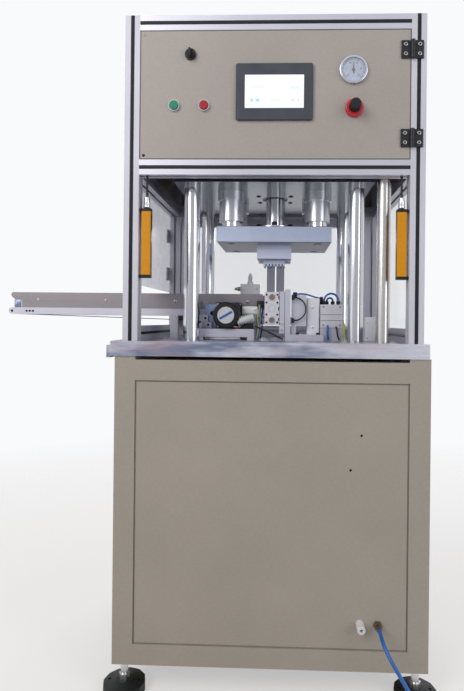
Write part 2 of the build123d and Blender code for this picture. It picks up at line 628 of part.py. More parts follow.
# Guard doors and panes
def side_guards(moving, left):
    handle_y = -INNER_Y + HANDLE_SET
    pane = (-SIDE_X, -SIDE_X + PANE_T)
    with BuildPart() as left_pane:
        block(pane, (-INNER_Y + DOOR_GAP, INNER_Y - DOOR_GAP), (LEFT_DOOR_Z0, SWING_TOP))
    save("left_door_pane", left_pane.part)
    with BuildPart() as left_hardware:
        with Locations(*left):
            add(moving)
        bow_handle(Plane(origin=(-SIDE_X, handle_y, (LEFT_DOOR_Z0 + SWING_TOP) / 2),
                         x_dir=(0, 0, 1), z_dir=(-1, 0, 0)))
    save("left_door_hardware", left_hardware.part)
    with BuildPart() as right_pane:
        block((SIDE_X - CLAD_RECESS - PANE_T, SIDE_X - CLAD_RECESS), (-INNER_Y, INNER_Y),
              (TABLE_Z + PROFILE, MID_Z0))
    save("right_guard_pane", right_pane.part)


HANDLE_L, HANDLE_BAR, HANDLE_OUT = 110.0, 10.0, 28.0


def bow_handle(plane):
    """Bow handle on the plane's face, its length along the plane's x."""
    along = Plane(origin=plane.origin, x_dir=plane.x_dir, z_dir=-plane.y_dir)
    with BuildSketch(along.offset(-HANDLE_BAR / 2)) as bow:
        Rectangle(HANDLE_L, HANDLE_OUT, align=(Align.CENTER, Align.MIN))
        Rectangle(HANDLE_L - 2 * HANDLE_BAR, HANDLE_OUT - HANDLE_BAR,
                  align=(Align.CENTER, Align.MIN), mode=Mode.SUBTRACT)
    extrude(bow.sketch, amount=HANDLE_BAR)


REAR_STILE, REAR_STILE_T, PANE_GROOVE = 30.0, 30.0, 6.0
REAR_MEETING_GAP = 5.0
REAR_PANE_T = 5.0


def rear_doors(moving, rear_left, rear_right):
    outer, inner = INNER_X - DOOR_GAP, REAR_MEETING_GAP / 2
    pane_y = REAR - REAR_STILE_T / 2
    y_pane = (pane_y - REAR_PANE_T / 2, pane_y + REAR_PANE_T / 2)
    for name, side, places in (("rear_left", -1, rear_left), ("rear_right", 1, rear_right)):
        x = tuple(sorted((side * inner, side * outer)))
        z = (REAR_DOOR_Z0, SWING_TOP)
        clear_x = (x[0] + REAR_STILE, x[1] - REAR_STILE)
        clear_z = (z[0] + REAR_STILE, z[1] - REAR_STILE)
        pane_x = (clear_x[0] - PANE_GROOVE, clear_x[1] + PANE_GROOVE)
        pane_z = (clear_z[0] - PANE_GROOVE, clear_z[1] + PANE_GROOVE)
        with BuildPart() as frame:
            block(x, (REAR - REAR_STILE_T, REAR), z)
            block(clear_x, (REAR - REAR_STILE_T, REAR), clear_z, Mode.SUBTRACT)
            block(pane_x, y_pane, pane_z, Mode.SUBTRACT)
            with Locations(*places):
                add(moving)
            bow_handle(Plane(origin=(side * (inner + REAR_STILE / 2), REAR, (z[0] + z[1]) / 2),
                             x_dir=(0, 0, 1), z_dir=(0, 1, 0)))
        save(f"{name}_door", frame.part)
        with BuildPart() as pane:
            block(pane_x, y_pane, pane_z)
        save(f"{name}_pane", pane.part)


# Press frame: four columns, top plate, bushings and the cylinder
def press_spots(x, y):
    """The four corners of a rectangle about the press centre."""
    return [(i * x, PRESS_Y + j * y) for i in (-1, 1) for j in (-1, 1)]


def press_frame():
    plate_z = TABLE_Z + TOP_PLATE_Z
    plate_top = plate_z + TOP_PLATE_T
    with BuildPart() as columns:
        with BuildSketch(Plane.XY.offset(TABLE_Z)):
            with Locations(*press_spots(COLUMN_X, COLUMN_Y)):
                Circle(COLUMN_D / 2)
        extrude(amount=TOP_PLATE_Z)
        with BuildSketch(Plane.XY.offset(plate_z)):
            with Locations(*press_spots(COLUMN_X, COLUMN_Y)):
                Circle(COLUMN_NECK_D / 2)
        extrude(amount=TOP_PLATE_T)
        with BuildSketch(Plane.XY.offset(plate_top)):
            with Locations(*press_spots(COLUMN_X, COLUMN_Y)):
                RegularPolygon(COLUMN_NUT_D / 2, 6)
        extrude(amount=COLUMN_NUT_H)
    save("press_columns", columns.part)

    with BuildPart() as plate:
        with BuildSketch(Plane.XY.offset(plate_z)):
            with Locations((0, PRESS_Y)):
                Rectangle(TOP_PLATE_W, TOP_PLATE_D)
                Circle(ROD_HOLE_D / 2, mode=Mode.SUBTRACT)
            with Locations(*press_spots(COLUMN_X, COLUMN_Y)):
                Circle(COLUMN_NECK_D / 2, mode=Mode.SUBTRACT)
            with Locations(*press_spots(GUIDE_X, GUIDE_Y)):
                Circle(BUSH_SPIGOT_D / 2, mode=Mode.SUBTRACT)
        extrude(amount=TOP_PLATE_T)
    save("top_plate", plate.part)

    with BuildPart() as bush:
        with BuildSketch(Plane.XZ):
            with BuildLine():
                bore = GUIDE_D / 2 + RUNNING
                shoulder = plate_z - BUSH_COLLAR_H
                Polyline((bore, plate_z - BUSH_H), (BUSH_D / 2, plate_z - BUSH_H),
                         (BUSH_D / 2, shoulder), (BUSH_COLLAR_D / 2, shoulder),
                         (BUSH_COLLAR_D / 2, plate_z), (BUSH_SPIGOT_D / 2, plate_z),
                         (BUSH_SPIGOT_D / 2, plate_top), (bore, plate_top), close=True)
            make_face()
        revolve(axis=Axis.Z)
    with BuildPart() as bushes:
        with Locations(*press_spots(GUIDE_X, GUIDE_Y)):
            add(bush.part)
    save("guide_bushings", bushes.part)


def press_cylinder():
    z0 = TABLE_Z + TOP_PLATE_Z + TOP_PLATE_T
    z1 = z0 + HEAD_H
    z2 = z1 + BARREL_H
    z3 = z2 + HEAD_H
    with BuildPart() as barrel:
        with BuildSketch(Plane.XY.offset(z1)):
            with Locations((0, PRESS_Y)):
                Circle(BARREL_BORE / 2 + BARREL_WALL)
                Circle(BARREL_BORE / 2, mode=Mode.SUBTRACT)
        extrude(amount=BARREL_H)
    save("cylinder_barrel", barrel.part)

    with BuildPart() as heads:
        for z in (z0, z2):
            with BuildSketch(Plane.XY.offset(z)):
                with Locations((0, PRESS_Y)):
                    RectangleRounded(HEAD_W, HEAD_W, 14)
                    if z == z0:
                        Circle(ROD_D / 2 + RUNNING, mode=Mode.SUBTRACT)
            extrude(amount=HEAD_H)
        with BuildSketch(Plane.XY.offset(z1)):
            with Locations((0, PRESS_Y)):
                with GridLocations(TIE_SPACING, TIE_SPACING, 2, 2):
                    Circle(TIE_D / 2)
        extrude(amount=BARREL_H)
        with BuildSketch(Plane.XY.offset(z3)):
            with Locations((0, PRESS_Y)):
                with GridLocations(TIE_SPACING, TIE_SPACING, 2, 2):
                    RegularPolygon(TIE_NUT_D / 2, 6)
        extrude(amount=TIE_NUT_H)
    save("cylinder_heads", heads.part)


# Ram: plate, guide rods, piston rod with its flange, and the crimp tool
def ram():
    z0 = TABLE_Z + RAM_Z
    z1 = z0 + RAM_T
    piston_top = TABLE_Z + TOP_PLATE_Z + TOP_PLATE_T + HEAD_H + BARREL_H - PISTON_DROP
    with BuildPart() as plate:
        with BuildSketch(Plane.XY.offset(z0)):
            with Locations((0, PRESS_Y)):
                Rectangle(RAM_W, RAM_D)
        extrude(amount=RAM_T)
        chamfer(plate.edges(), 1.5)
        with BuildSketch(Plane.XY.offset(z0)):
            with Locations(*press_spots(GUIDE_X, GUIDE_Y)):
                Circle(RAM_SCREW_D / 2)
        extrude(amount=RAM_T, mode=Mode.SUBTRACT)
        with BuildSketch(Plane.XY.offset(z0)):
            with Locations(*press_spots(GUIDE_X, GUIDE_Y)):
                Circle(RAM_SCREW_HEAD_D / 2)
        extrude(amount=RAM_SCREW_HEAD_H, mode=Mode.SUBTRACT)
    save("ram_plate", plate.part)

    with BuildPart() as rods:
        with BuildSketch(Plane.XY.offset(z1)):
            with Locations(*press_spots(GUIDE_X, GUIDE_Y)):
                Circle(GUIDE_D / 2)
        extrude(amount=GUIDE_L)
        chamfer(rods.edges().group_by(Axis.Z)[-1], 2)
    save("guide_rods", rods.part)

    with BuildPart() as rod:
        with BuildSketch(Plane.XY.offset(z1)):
            with Locations((0, PRESS_Y)):
                Circle(FLANGE_D / 2)
                with PolarLocations(FLANGE_BOLT_CIRCLE / 2, FLANGE_BOLTS):
                    Circle(FLANGE_BOLT_D / 2, mode=Mode.SUBTRACT)
        extrude(amount=FLANGE_T)
        with BuildSketch(Plane.XY.offset(z1)):
            with Locations((0, PRESS_Y)):
                Circle(ROD_D / 2)
        extrude(amount=piston_top - z1)
        with BuildSketch(Plane.XY.offset(piston_top - PISTON_H)):
            with Locations((0, PRESS_Y)):
                Circle(BARREL_BORE / 2 - RUNNING)
        extrude(amount=PISTON_H)
    save("piston_rod", rod.part)

    with BuildPart() as tool:
        with BuildSketch(Plane.XY.offset(z0 - TOOL_H)):
            with Locations((0, PRESS_Y)):
                Rectangle(TOOL_W, TOOL_L)
        extrude(amount=TOOL_H)
        chamfer(tool.edges().group_by(Axis.Z)[0], 2)
        with BuildSketch(Plane.XY.offset(z0 - TOOL_H)):
            with Locations((0, PRESS_Y)):
                Rectangle(TOOL_W, TOOL_SLOT_W)
        extrude(amount=TOOL_SLOT_H, mode=Mode.SUBTRACT)
        die_z = z0 - TOOL_H - DIE_H
        with BuildSketch(Plane.XY.offset(die_z)):
            with Locations((0, PRESS_Y)):
                Rectangle(DIE_W, DIE_L)
        extrude(amount=DIE_H)
        with BuildSketch(Plane.XY.offset(die_z)):
            with Locations((0, PRESS_Y)):
                with GridLocations(DIE_PITCH, 0, DIE_GROOVES, 1):
                    Rectangle(DIE_GROOVE_W, DIE_L)
        extrude(amount=DIE_GROOVE_DEEP, mode=Mode.SUBTRACT)
        with BuildSketch(Plane.XY.offset(die_z)):
            with Locations((0, PRESS_Y)):
                Circle(TOOL_SHANK_D / 2)
        extrude(amount=DIE_H + TOOL_SHANK_DEEP, mode=Mode.SUBTRACT)
    save("crimp_tool", tool.part)


# Conveyor: two beams, guide plates, belt, three rollers, motor and supports
NOSE_Z = TABLE_Z + BEAM_Z + BEAM_H / 2
NOSE_X = (CONVEYOR_LEFT + BEAM_H / 2, CONVEYOR_RIGHT - BEAM_H / 2)
DRIVE_Z = NOSE_Z + NOSE_D / 2 - DRIVE_D / 2
ROLLER_HALF = BEAM_INNER - ROLLER_SIDE_GAP
BEAM_OUTER = BEAM_INNER + BEAM_T
MOTOR_REAR = PRESS_Y - BEAM_OUTER - MOTOR_GAP
MOTOR_FACE = MOTOR_REAR - MOTOR_FLANGE_T - MOTOR_L


def conveyor_frame():
    length = CONVEYOR_RIGHT - CONVEYOR_LEFT
    middle = (CONVEYOR_LEFT + CONVEYOR_RIGHT) / 2
    beam_top = TABLE_Z + BEAM_Z + BEAM_H
    with BuildPart() as beams:
        for y in (PRESS_Y - BEAM_INNER, PRESS_Y + BEAM_OUTER):
            with BuildSketch(facing(y)):
                with Locations((middle, NOSE_Z)):
                    SlotOverall(length, BEAM_H)
                with Locations((DRIVE_X, beam_top - (BEAM_H + CHEEK_DROP) / 2)):
                    RectangleRounded(CHEEK_W, BEAM_H + CHEEK_DROP, 6)
                with Locations(*((x, NOSE_Z) for x in NOSE_X)):
                    Circle(NOSE_AXLE_D / 2 + RUNNING, mode=Mode.SUBTRACT)
                with Locations((DRIVE_X, DRIVE_Z)):
                    Circle(DRIVE_SHAFT_D / 2 + RUNNING, mode=Mode.SUBTRACT)
            extrude(amount=BEAM_T)
    save("conveyor_beams", beams.part)

    with BuildPart() as guides:
        ends = ((PRESS_Y - GUIDE_FACE, FRONT_PLATE_END), (PRESS_Y + GUIDE_FACE + PLATE_T, CONVEYOR_RIGHT))
        for y, right in ends:
            with BuildSketch(facing(y)):
                with BuildLine():
                    Polyline(*((CONVEYOR_LEFT + x, beam_top + z) for x, z in GUIDE_TIP),
                             (right, beam_top + PLATE_H), (right, beam_top), close=True)
                make_face()
            extrude(amount=PLATE_T)
            slit_x, slit_z = TIP_SLIT
            block((CONVEYOR_LEFT + slit_x[0], CONVEYOR_LEFT + slit_x[1]), (y - PLATE_T, y),
                  (beam_top + slit_z[0], beam_top + slit_z[1]), Mode.SUBTRACT)
    save("conveyor_guides", guides.part)

    with BuildPart() as belt:
        with BuildSketch(facing(PRESS_Y + BELT_W / 2)):
            with BuildSketch(Plane.XY, mode=Mode.PRIVATE) as wrap:
                with Locations(*((x, NOSE_Z) for x in NOSE_X)):
                    Circle(NOSE_D / 2 + BELT_GAP)
                with Locations((DRIVE_X, DRIVE_Z)):
                    Circle(DRIVE_D / 2 + BELT_GAP)
                make_hull()
            add(offset(wrap.sketch, BELT_T, mode=Mode.PRIVATE))
            add(wrap.sketch, mode=Mode.SUBTRACT)
        extrude(amount=BELT_W)
    save("conveyor_belt", belt.part)


def conveyor_rollers():
    for name, x in zip(("idler_left", "idler_right"), NOSE_X):
        with BuildPart() as idler:
            with BuildSketch(facing(PRESS_Y + ROLLER_HALF)):
                with Locations((x, NOSE_Z)):
                    Circle(NOSE_D / 2)
            extrude(amount=2 * ROLLER_HALF)
            with BuildSketch(facing(PRESS_Y + BEAM_OUTER)):
                with Locations((x, NOSE_Z)):
                    Circle(NOSE_AXLE_D / 2)
            extrude(amount=2 * BEAM_OUTER)
        save(name, idler.part)

    disc_face = MOTOR_FACE - DISC_GAP - DISC_T
    with BuildPart() as drive:
        with BuildSketch(facing(PRESS_Y + ROLLER_HALF)):
            with Locations((DRIVE_X, DRIVE_Z)):
                Circle(DRIVE_D / 2)
        extrude(amount=2 * ROLLER_HALF)
        with BuildSketch(facing(PRESS_Y + BEAM_OUTER)):
            with Locations((DRIVE_X, DRIVE_Z)):
                Circle(DRIVE_SHAFT_D / 2)
        extrude(amount=PRESS_Y + BEAM_OUTER - disc_face)
        with BuildSketch(facing(disc_face + DISC_T)):
            with Locations((DRIVE_X, DRIVE_Z)):
                Circle(DISC_D / 2)
        extrude(amount=DISC_T)
        with BuildSketch(facing(disc_face)):
            with Locations((DRIVE_X, DRIVE_Z)):
                Rectangle(DISC_D, DISC_SLOT, rotation=-40)
        extrude(amount=-DISC_T / 2, mode=Mode.SUBTRACT)
    save("drive_roller", drive.part)


def conveyor_motor():
    with BuildPart() as motor:
        with BuildSketch(facing(MOTOR_REAR - MOTOR_FLANGE_T)):
            with Locations((DRIVE_X, DRIVE_Z)):
                Circle(MOTOR_D / 2)
        extrude(amount=MOTOR_L)
        chamfer(motor.faces().sort_by(Axis.Y)[0].edges(), 3)
        with BuildSketch(facing(MOTOR_REAR)):
            with Locations((DRIVE_X, DRIVE_Z)):
                RectangleRounded(MOTOR_SQUARE, MOTOR_SQUARE, 5)
        extrude(amount=MOTOR_FLANGE_T)
        with BuildSketch(facing(MOTOR_REAR)):
            with Locations((DRIVE_X, DRIVE_Z)):
                Circle(DRIVE_SHAFT_D / 2 + RUNNING)
        extrude(amount=MOTOR_FLANGE_T + MOTOR_L, mode=Mode.SUBTRACT)
    save("conveyor_motor", motor.part)


# Brackets and supports that are bolted to the table
CLAMP_REAR = PRESS_Y - BEAM_OUTER - CLAMP_STOP_GAP - CLAMP_STROKE - CLAMP_PLATE_T - CLAMP_STOP_GAP
CLAMP_FRONT = CLAMP_REAR - CLAMP_L
SENSOR_Y = CLAMP_FRONT + 15.0


def table_brackets():
    bar_top = DRIVE_Z - MOTOR_SQUARE / 2
    bar_y = (MOTOR_REAR - BASE_BAR_D, MOTOR_REAR)
    b0 = CLAMP_X1 + BRACKET_A
    b1 = b0 + BRACKET_B
    pusher_y = (PUSHER_Y - PUSHER_D / 2, PUSHER_Y + PUSHER_D / 2)
    with BuildPart() as brackets:
        for x in STAND_X:
            with BuildSketch(sideways(x - STAND_W / 2)):
                with Locations((PRESS_Y, TABLE_Z)):
                    Rectangle(2 * BEAM_OUTER, BEAM_Z, align=(Align.CENTER, Align.MIN))
                with Locations((PRESS_Y, TABLE_Z + STAND_FOOT)):
                    Rectangle(2 * BEAM_INNER, BEAM_Z, align=(Align.CENTER, Align.MIN),
                              mode=Mode.SUBTRACT)
            extrude(amount=STAND_W)
        block((BASE_BAR_X0, BASE_BAR_X1), bar_y, (TABLE_Z + BASE_BAR_LEG, bar_top))
        for x in (BASE_BAR_X0, BASE_BAR_X1 - BASE_BAR_FOOT_W):
            block((x, x + BASE_BAR_FOOT_W), bar_y, (TABLE_Z, TABLE_Z + BASE_BAR_LEG))
        block((BASE_BAR_X0 - END_PLATE_T, BASE_BAR_X0), bar_y, (TABLE_Z, TABLE_Z + END_PLATE_H))
        block((CLAMP_X1, b0), (CLAMP_FRONT, CLAMP_REAR),
              (TABLE_Z + BRACKET_A_Z0, TABLE_Z + CLAMP_Z1 + 2))
        block((b0, b1), (CLAMP_FRONT, CLAMP_REAR), (TABLE_Z, TABLE_Z + BRACKET_TOP))
        block((b1, b1 + BRACKET_FOOT_W), (CLAMP_FRONT, CLAMP_FRONT + BRACKET_FOOT_D),
              (TABLE_Z, TABLE_Z + BRACKET_FOOT_H))
        block((SENSOR_X0, SENSOR_X1), (SENSOR_Y, SENSOR_Y + SENSOR_T),
              (TABLE_Z + SENSOR_Z0, TABLE_Z + SENSOR_Z1))
        block((SENSOR_X0, SENSOR_X0 + SENSOR_LEG), (SENSOR_Y, SENSOR_Y + SENSOR_T),
              (TABLE_Z + BRACKET_FOOT_H, TABLE_Z + SENSOR_Z0))
        block((PUSHER_X0 - PUSHER_GAP - SLIDER_W, PUSHER_X1), pusher_y,
              (TABLE_Z, TABLE_Z + PUSHER_BASE_H - KNUCKLE_GAP))
        block((PUSHER_X0, PUSHER_X1), pusher_y, (TABLE_Z, TABLE_Z + PUSHER_Z0))
        block((NOZZLE_X0, NOZZLE_X1), (NOZZLE_Y0, NOZZLE_Y0 + NOZZLE_BRACKET_T),
              (TABLE_Z, TABLE_Z + NOZZLE_Z0))
    save("table_brackets", brackets.part)

    with BuildPart() as nozzle:
        block((NOZZLE_X0, NOZZLE_X1), (NOZZLE_Y0, NOZZLE_Y0 + NOZZLE_D),
              (TABLE_Z + NOZZLE_Z0, TABLE_Z + NOZZLE_Z0 + NOZZLE_H))
        chamfer(nozzle.edges().filter_by(Axis.Z), 2)
        top = TABLE_Z + NOZZLE_Z0 + NOZZLE_H
        for radius, height in TIP_STEPS:
            with BuildSketch(Plane.XY.offset(top)):
                with Locations(((NOZZLE_X0 + NOZZLE_X1) / 2, NOZZLE_Y0 + NOZZLE_D / 2)):
                    Circle(radius)
            extrude(amount=height)
            top += height
        fillet(nozzle.edges().group_by(Axis.Z)[-1], 3)
    save("nozzle_block", nozzle.part)


def air_cylinders():
    rod_x = (CLAMP_X0 + CLAMP_X1) / 2
    rod_z = (TABLE_Z + CLAMP_Z0 + CLAMP_ROD_EDGE, TABLE_Z + CLAMP_Z1 - CLAMP_ROD_EDGE)
    pusher_mid = TABLE_Z + (PUSHER_Z0 + PUSHER_Z1) / 2
    pusher_rods = [(PUSHER_Y, pusher_mid + side * PUSHER_ROD_SPREAD / 2) for side in (-1, 1)]
    with BuildPart() as bodies:
        with BuildSketch(facing(CLAMP_REAR)):
            with Locations((rod_x, TABLE_Z + (CLAMP_Z0 + CLAMP_Z1) / 2)):
                RectangleRounded(CLAMP_X1 - CLAMP_X0, CLAMP_Z1 - CLAMP_Z0, 3)
            with Locations(*((rod_x, z) for z in rod_z)):
                Circle(CLAMP_ROD_D / 2 + RUNNING, mode=Mode.SUBTRACT)
        extrude(amount=CLAMP_L)
        with BuildSketch(sideways(PUSHER_X0)):
            with Locations((PUSHER_Y, pusher_mid)):
                RectangleRounded(PUSHER_D, PUSHER_Z1 - PUSHER_Z0, 3)
            with Locations(*pusher_rods):
                Circle(PUSHER_ROD_D / 2 + RUNNING, mode=Mode.SUBTRACT)
        extrude(amount=PUSHER_X1 - PUSHER_X0)
    save("air_cylinders", bodies.part)

    plate_y = CLAMP_REAR + CLAMP_STOP_GAP
    finger_z1 = TABLE_Z + CLAMP_Z1 - 2
    with BuildPart() as clamp:
        with BuildSketch(facing(plate_y + CLAMP_PLATE_T)):
            with Locations((rod_x, TABLE_Z + (CLAMP_Z0 + CLAMP_Z1) / 2)):
                RectangleRounded(CLAMP_X1 - CLAMP_X0 - 2, CLAMP_Z1 - CLAMP_Z0 - 2, 3)
        extrude(amount=CLAMP_PLATE_T)
        with BuildSketch(facing(plate_y)):
            with Locations(*((rod_x, z) for z in rod_z)):
                Circle(CLAMP_ROD_D / 2)
        extrude(amount=CLAMP_L - 2)
        block((CLAMP_X0 + FINGER_SIDE, CLAMP_X1 - FINGER_SIDE),
              (plate_y + CLAMP_PLATE_T, PRESS_Y - GUIDE_FACE),
              (finger_z1 - FINGER_H, finger_z1))
    save("clamp_slide", clamp.part)

    slider_x1 = PUSHER_X0 - PUSHER_GAP
    with BuildPart() as pusher:
        block((slider_x1 - SLIDER_W, slider_x1),
              (PUSHER_Y - PUSHER_D / 2, PUSHER_Y + PUSHER_D / 2),
              (TABLE_Z + PUSHER_BASE_H, TABLE_Z + SLIDER_TOP))
        chamfer(pusher.edges().filter_by(Axis.Z), 2)
        with BuildSketch(sideways(slider_x1)):
            with Locations(*pusher_rods):
                Circle(PUSHER_ROD_D / 2)
        extrude(amount=PUSHER_GAP + PUSHER_ROD_L)
    save("pusher_slide", pusher.part)


# Light curtain, cable riser, junction box, cables and air tubes
def light_curtains():
    z0, z1 = TABLE_Z + CURTAIN_Z0, TABLE_Z + CURTAIN_Z1
    y0 = FRONT + CURTAIN_SET
    middle = CURTAIN_X0 + CURTAIN_W / 2
    y_mid = y0 + CURTAIN_D / 2
    with BuildPart() as bodies:
        with BuildSketch(Plane.XY.offset(z0)):
            with Locations((-middle, y_mid), (middle, y_mid)):
                RectangleRounded(CURTAIN_W, CURTAIN_D, 4)
            with Locations((-CURTAIN_X0, y_mid), (CURTAIN_X0, y_mid)):
                Rectangle(2 * CURTAIN_WINDOW_DEEP, CURTAIN_WINDOW_W, mode=Mode.SUBTRACT)
        extrude(amount=z1 - z0)
    save("light_curtains", bodies.part)

    with BuildPart() as caps:
        for z in (z0 - CURTAIN_CAP_H, z1):
            with BuildSketch(Plane.XY.offset(z)):
                with Locations((-middle, y_mid), (middle, y_mid)):
                    RectangleRounded(CURTAIN_W, CURTAIN_D, 4)
            extrude(amount=CURTAIN_CAP_H)
        with BuildSketch(Plane.XY.offset(z1 + CURTAIN_CAP_H)):
            with Locations((-middle, y_mid), (middle, y_mid)):
                Circle(DOME_D / 2)
        extrude(amount=DOME_H)
        fillet(caps.edges().group_by(Axis.Z)[-1], DOME_ROUND)
        for z in (z0 - CURTAIN_CAP_H, z1):
            for side in (-1, 1):
                x = tuple(sorted((side * (CURTAIN_X0 + CURTAIN_W - 2), side * INNER_X)))
                block(x, (y_mid - CURTAIN_LUG / 2, y_mid + CURTAIN_LUG / 2), (z, z + CURTAIN_CAP_H))
    save("curtain_caps", caps.part)
    return middle, y_mid, z1 + CURTAIN_CAP_H + DOME_H


def cables_and_tubes(middle, y_mid, dome_top):
    loop_y = SENSOR_Y - LOOP_OUT
    loop_z0, loop_z1 = TABLE_Z + LOOP_Z0, TABLE_Z + LOOP_Z1
    loop_x = SENSOR_X0 + LOOP_OUT
    plug = LOOP_PLUG / 2
    with BuildPart() as cables:
        with BuildSketch(Plane.XY.offset(dome_top)):
            with Locations((-middle, y_mid), (middle, y_mid)):
                Circle(CURTAIN_CABLE_D / 2)
        extrude(amount=MID_Z0 - dome_top)
        with BuildLine(facing(loop_y)) as loop:
            ThreePointArc((loop_x, loop_z0), (loop_x + (loop_z1 - loop_z0) / 2, (loop_z0 + loop_z1) / 2),
                          (loop_x, loop_z1))
        with BuildSketch(Plane(origin=(loop_x, loop_y, loop_z0), z_dir=(1, 0, 0))):
            Circle(LOOP_D / 2)
        sweep(path=loop.wire())
        for z in (loop_z0, loop_z1):
            block((SENSOR_X0, loop_x), (loop_y - plug, SENSOR_Y), (z - plug, z + plug))
    save("machine_cables", cables.part)

    top = TABLE_Z + PUSHER_Z1
    bend = top + TUBE_LIFT
    with BuildPart() as tubes:
        for start, end, set_back in TUBE_ARCS:
            x0, x1 = PUSHER_X0 + start, PUSHER_X0 + end
            y = PUSHER_Y + set_back
            with BuildLine(facing(y)) as arch:
                Line((x0, top), (x0, bend))
                ThreePointArc((x0, bend), ((x0 + x1) / 2, bend + (x1 - x0) / 2), (x1, bend))
                Line((x1, bend), (x1, top))
            with BuildSketch(Plane(origin=(x0, y, top), z_dir=(0, 0, 1))):
                Circle(TUBE_D / 2)
            sweep(path=arch.wire())
    save("air_tubes", tubes.part)


def riser_and_box():
    y = FRONT + PROFILE + RISER_D / 2 + RISER_SET
    with BuildPart() as riser:
        with BuildSketch(Plane.XY.offset(TABLE_Z)):
            with Locations((RISER_X, y)):
                Circle(RISER_D / 2)
                Circle(RISER_D / 2 - RISER_WALL, mode=Mode.SUBTRACT)
        extrude(amount=RISER_TOP)
    save("cable_riser", riser.part)

    with BuildPart() as box:
        with BuildSketch(Plane.XY.offset(TABLE_Z)):
            with Locations(((BOX_X0 + BOX_X1) / 2, BOX_Y)):
                RectangleRounded(BOX_X1 - BOX_X0, BOX_D, 3)
        extrude(amount=BOX_H)
        with BuildSketch(Plane.XY.offset(TABLE_Z + BOX_H - BOX_LID)):
            with Locations(((BOX_X0 + BOX_X1) / 2, BOX_Y)):
                RectangleRounded(BOX_X1 - BOX_X0, BOX_D, 3)
                RectangleRounded(BOX_X1 - BOX_X0 - 2, BOX_D - 2, 3, mode=Mode.SUBTRACT)
        extrude(amount=1, mode=Mode.SUBTRACT)
    save("junction_box", box.part)


# Cable gland and air inlet in the cabinet's front panel
def supply_fittings():
    with BuildPart() as gland:
        with BuildSketch(facing(PANEL_FACE + PANEL_RAISE + PANEL_PLATE)):
            with Locations(GLAND_AT):
                Circle(GLAND_D / 2)
        extrude(amount=GLAND_L + PANEL_RAISE + PANEL_PLATE)
        fillet(gland.faces().sort_by(Axis.Y)[0].edges(), 2)
        with BuildSketch(facing(PANEL_FACE - GLAND_L)):
            with Locations(GLAND_AT):
                Circle(GLAND_HOLE_D / 2)
        extrude(amount=-GLAND_L - PANEL_RAISE, mode=Mode.SUBTRACT)
    save("cable_gland", gland.part)

    with BuildPart() as inlet:
        with BuildSketch(facing(PANEL_FACE + PANEL_RAISE + PANEL_PLATE)):
            with Locations(INLET_AT):
                Circle(INLET_D / 2)
        extrude(amount=INLET_L + INLET_HEX_T + PANEL_RAISE + PANEL_PLATE)
        with BuildSketch(facing(PANEL_FACE)):
            with Locations(INLET_AT):
                RegularPolygon(INLET_HEX / 2, 6, major_radius=False)
        extrude(amount=INLET_HEX_T)
    save("air_inlet", inlet.part)


# Air hose: the stretch in sight, the coil of what is out of sight, and its coupling
HOSE_EXIT = (INLET_AT[0], PANEL_FACE - INLET_L - INLET_HEX_T, INLET_AT[1])
FLOOR_LIFT = 0.2           # keeps the hose off the floor by a hair
HOSE_FLOOR = HOSE_D / 2 + FLOOR_LIFT
HOSE_ROUTE = [
    HOSE_EXIT,
    (287.0, -370.0, 207.0),
    (290.0, -397.0, 197.0),
    (303.0, -420.0, 175.0),
    (319.0, -437.0, 153.0),
    (334.0, -451.0, 132.0),
    (350.0, -463.0, 108.0),
    (369.0, -477.0, 78.0),
    (392.0, -496.0, 45.0),
    (416.0, -521.0, 17.0),
    (434.0, -553.0, HOSE_FLOOR),
    (443.0, -585.0, HOSE_FLOOR),
    (446.0, -612.0, HOSE_FLOOR),
]
COIL_RADIUS, COIL_COLUMNS, COIL_LAYERS = 55.0, 3, 2
COIL_OUTER = COIL_RADIUS + COIL_COLUMNS * HOSE_D / 2
COIL_CENTRE = (HOSE_ROUTE[-1][0] - COIL_OUTER + HOSE_D / 2, HOSE_ROUTE[-1][1])
COUPLING_Z, COUPLING_START = 10.2, 34.0
SLEEVE_D, SLEEVE_L, COUPLING_HEX, COUPLING_HEX_L = 15.0, 16.0, 18.0, 12.0
NIPPLE_D, NIPPLE_L, NIPPLE_NECK_D, NIPPLE_NECK_L = 11.0, 22.0, 8.0, 5.0


def tube_radii(route):
    """Radius of each corner's arc: 0.45 of the shorter run over the tangent of half the turn."""
    radii = []
    for before, point, after in zip(route, route[1:], route[2:]):
        a, b = Vector(*point) - Vector(*before), Vector(*after) - Vector(*point)
        turn = a.get_angle(b)
        radii.append(0.45 * min(a.length, b.length) / math.tan(math.radians(turn / 2)))
    return radii


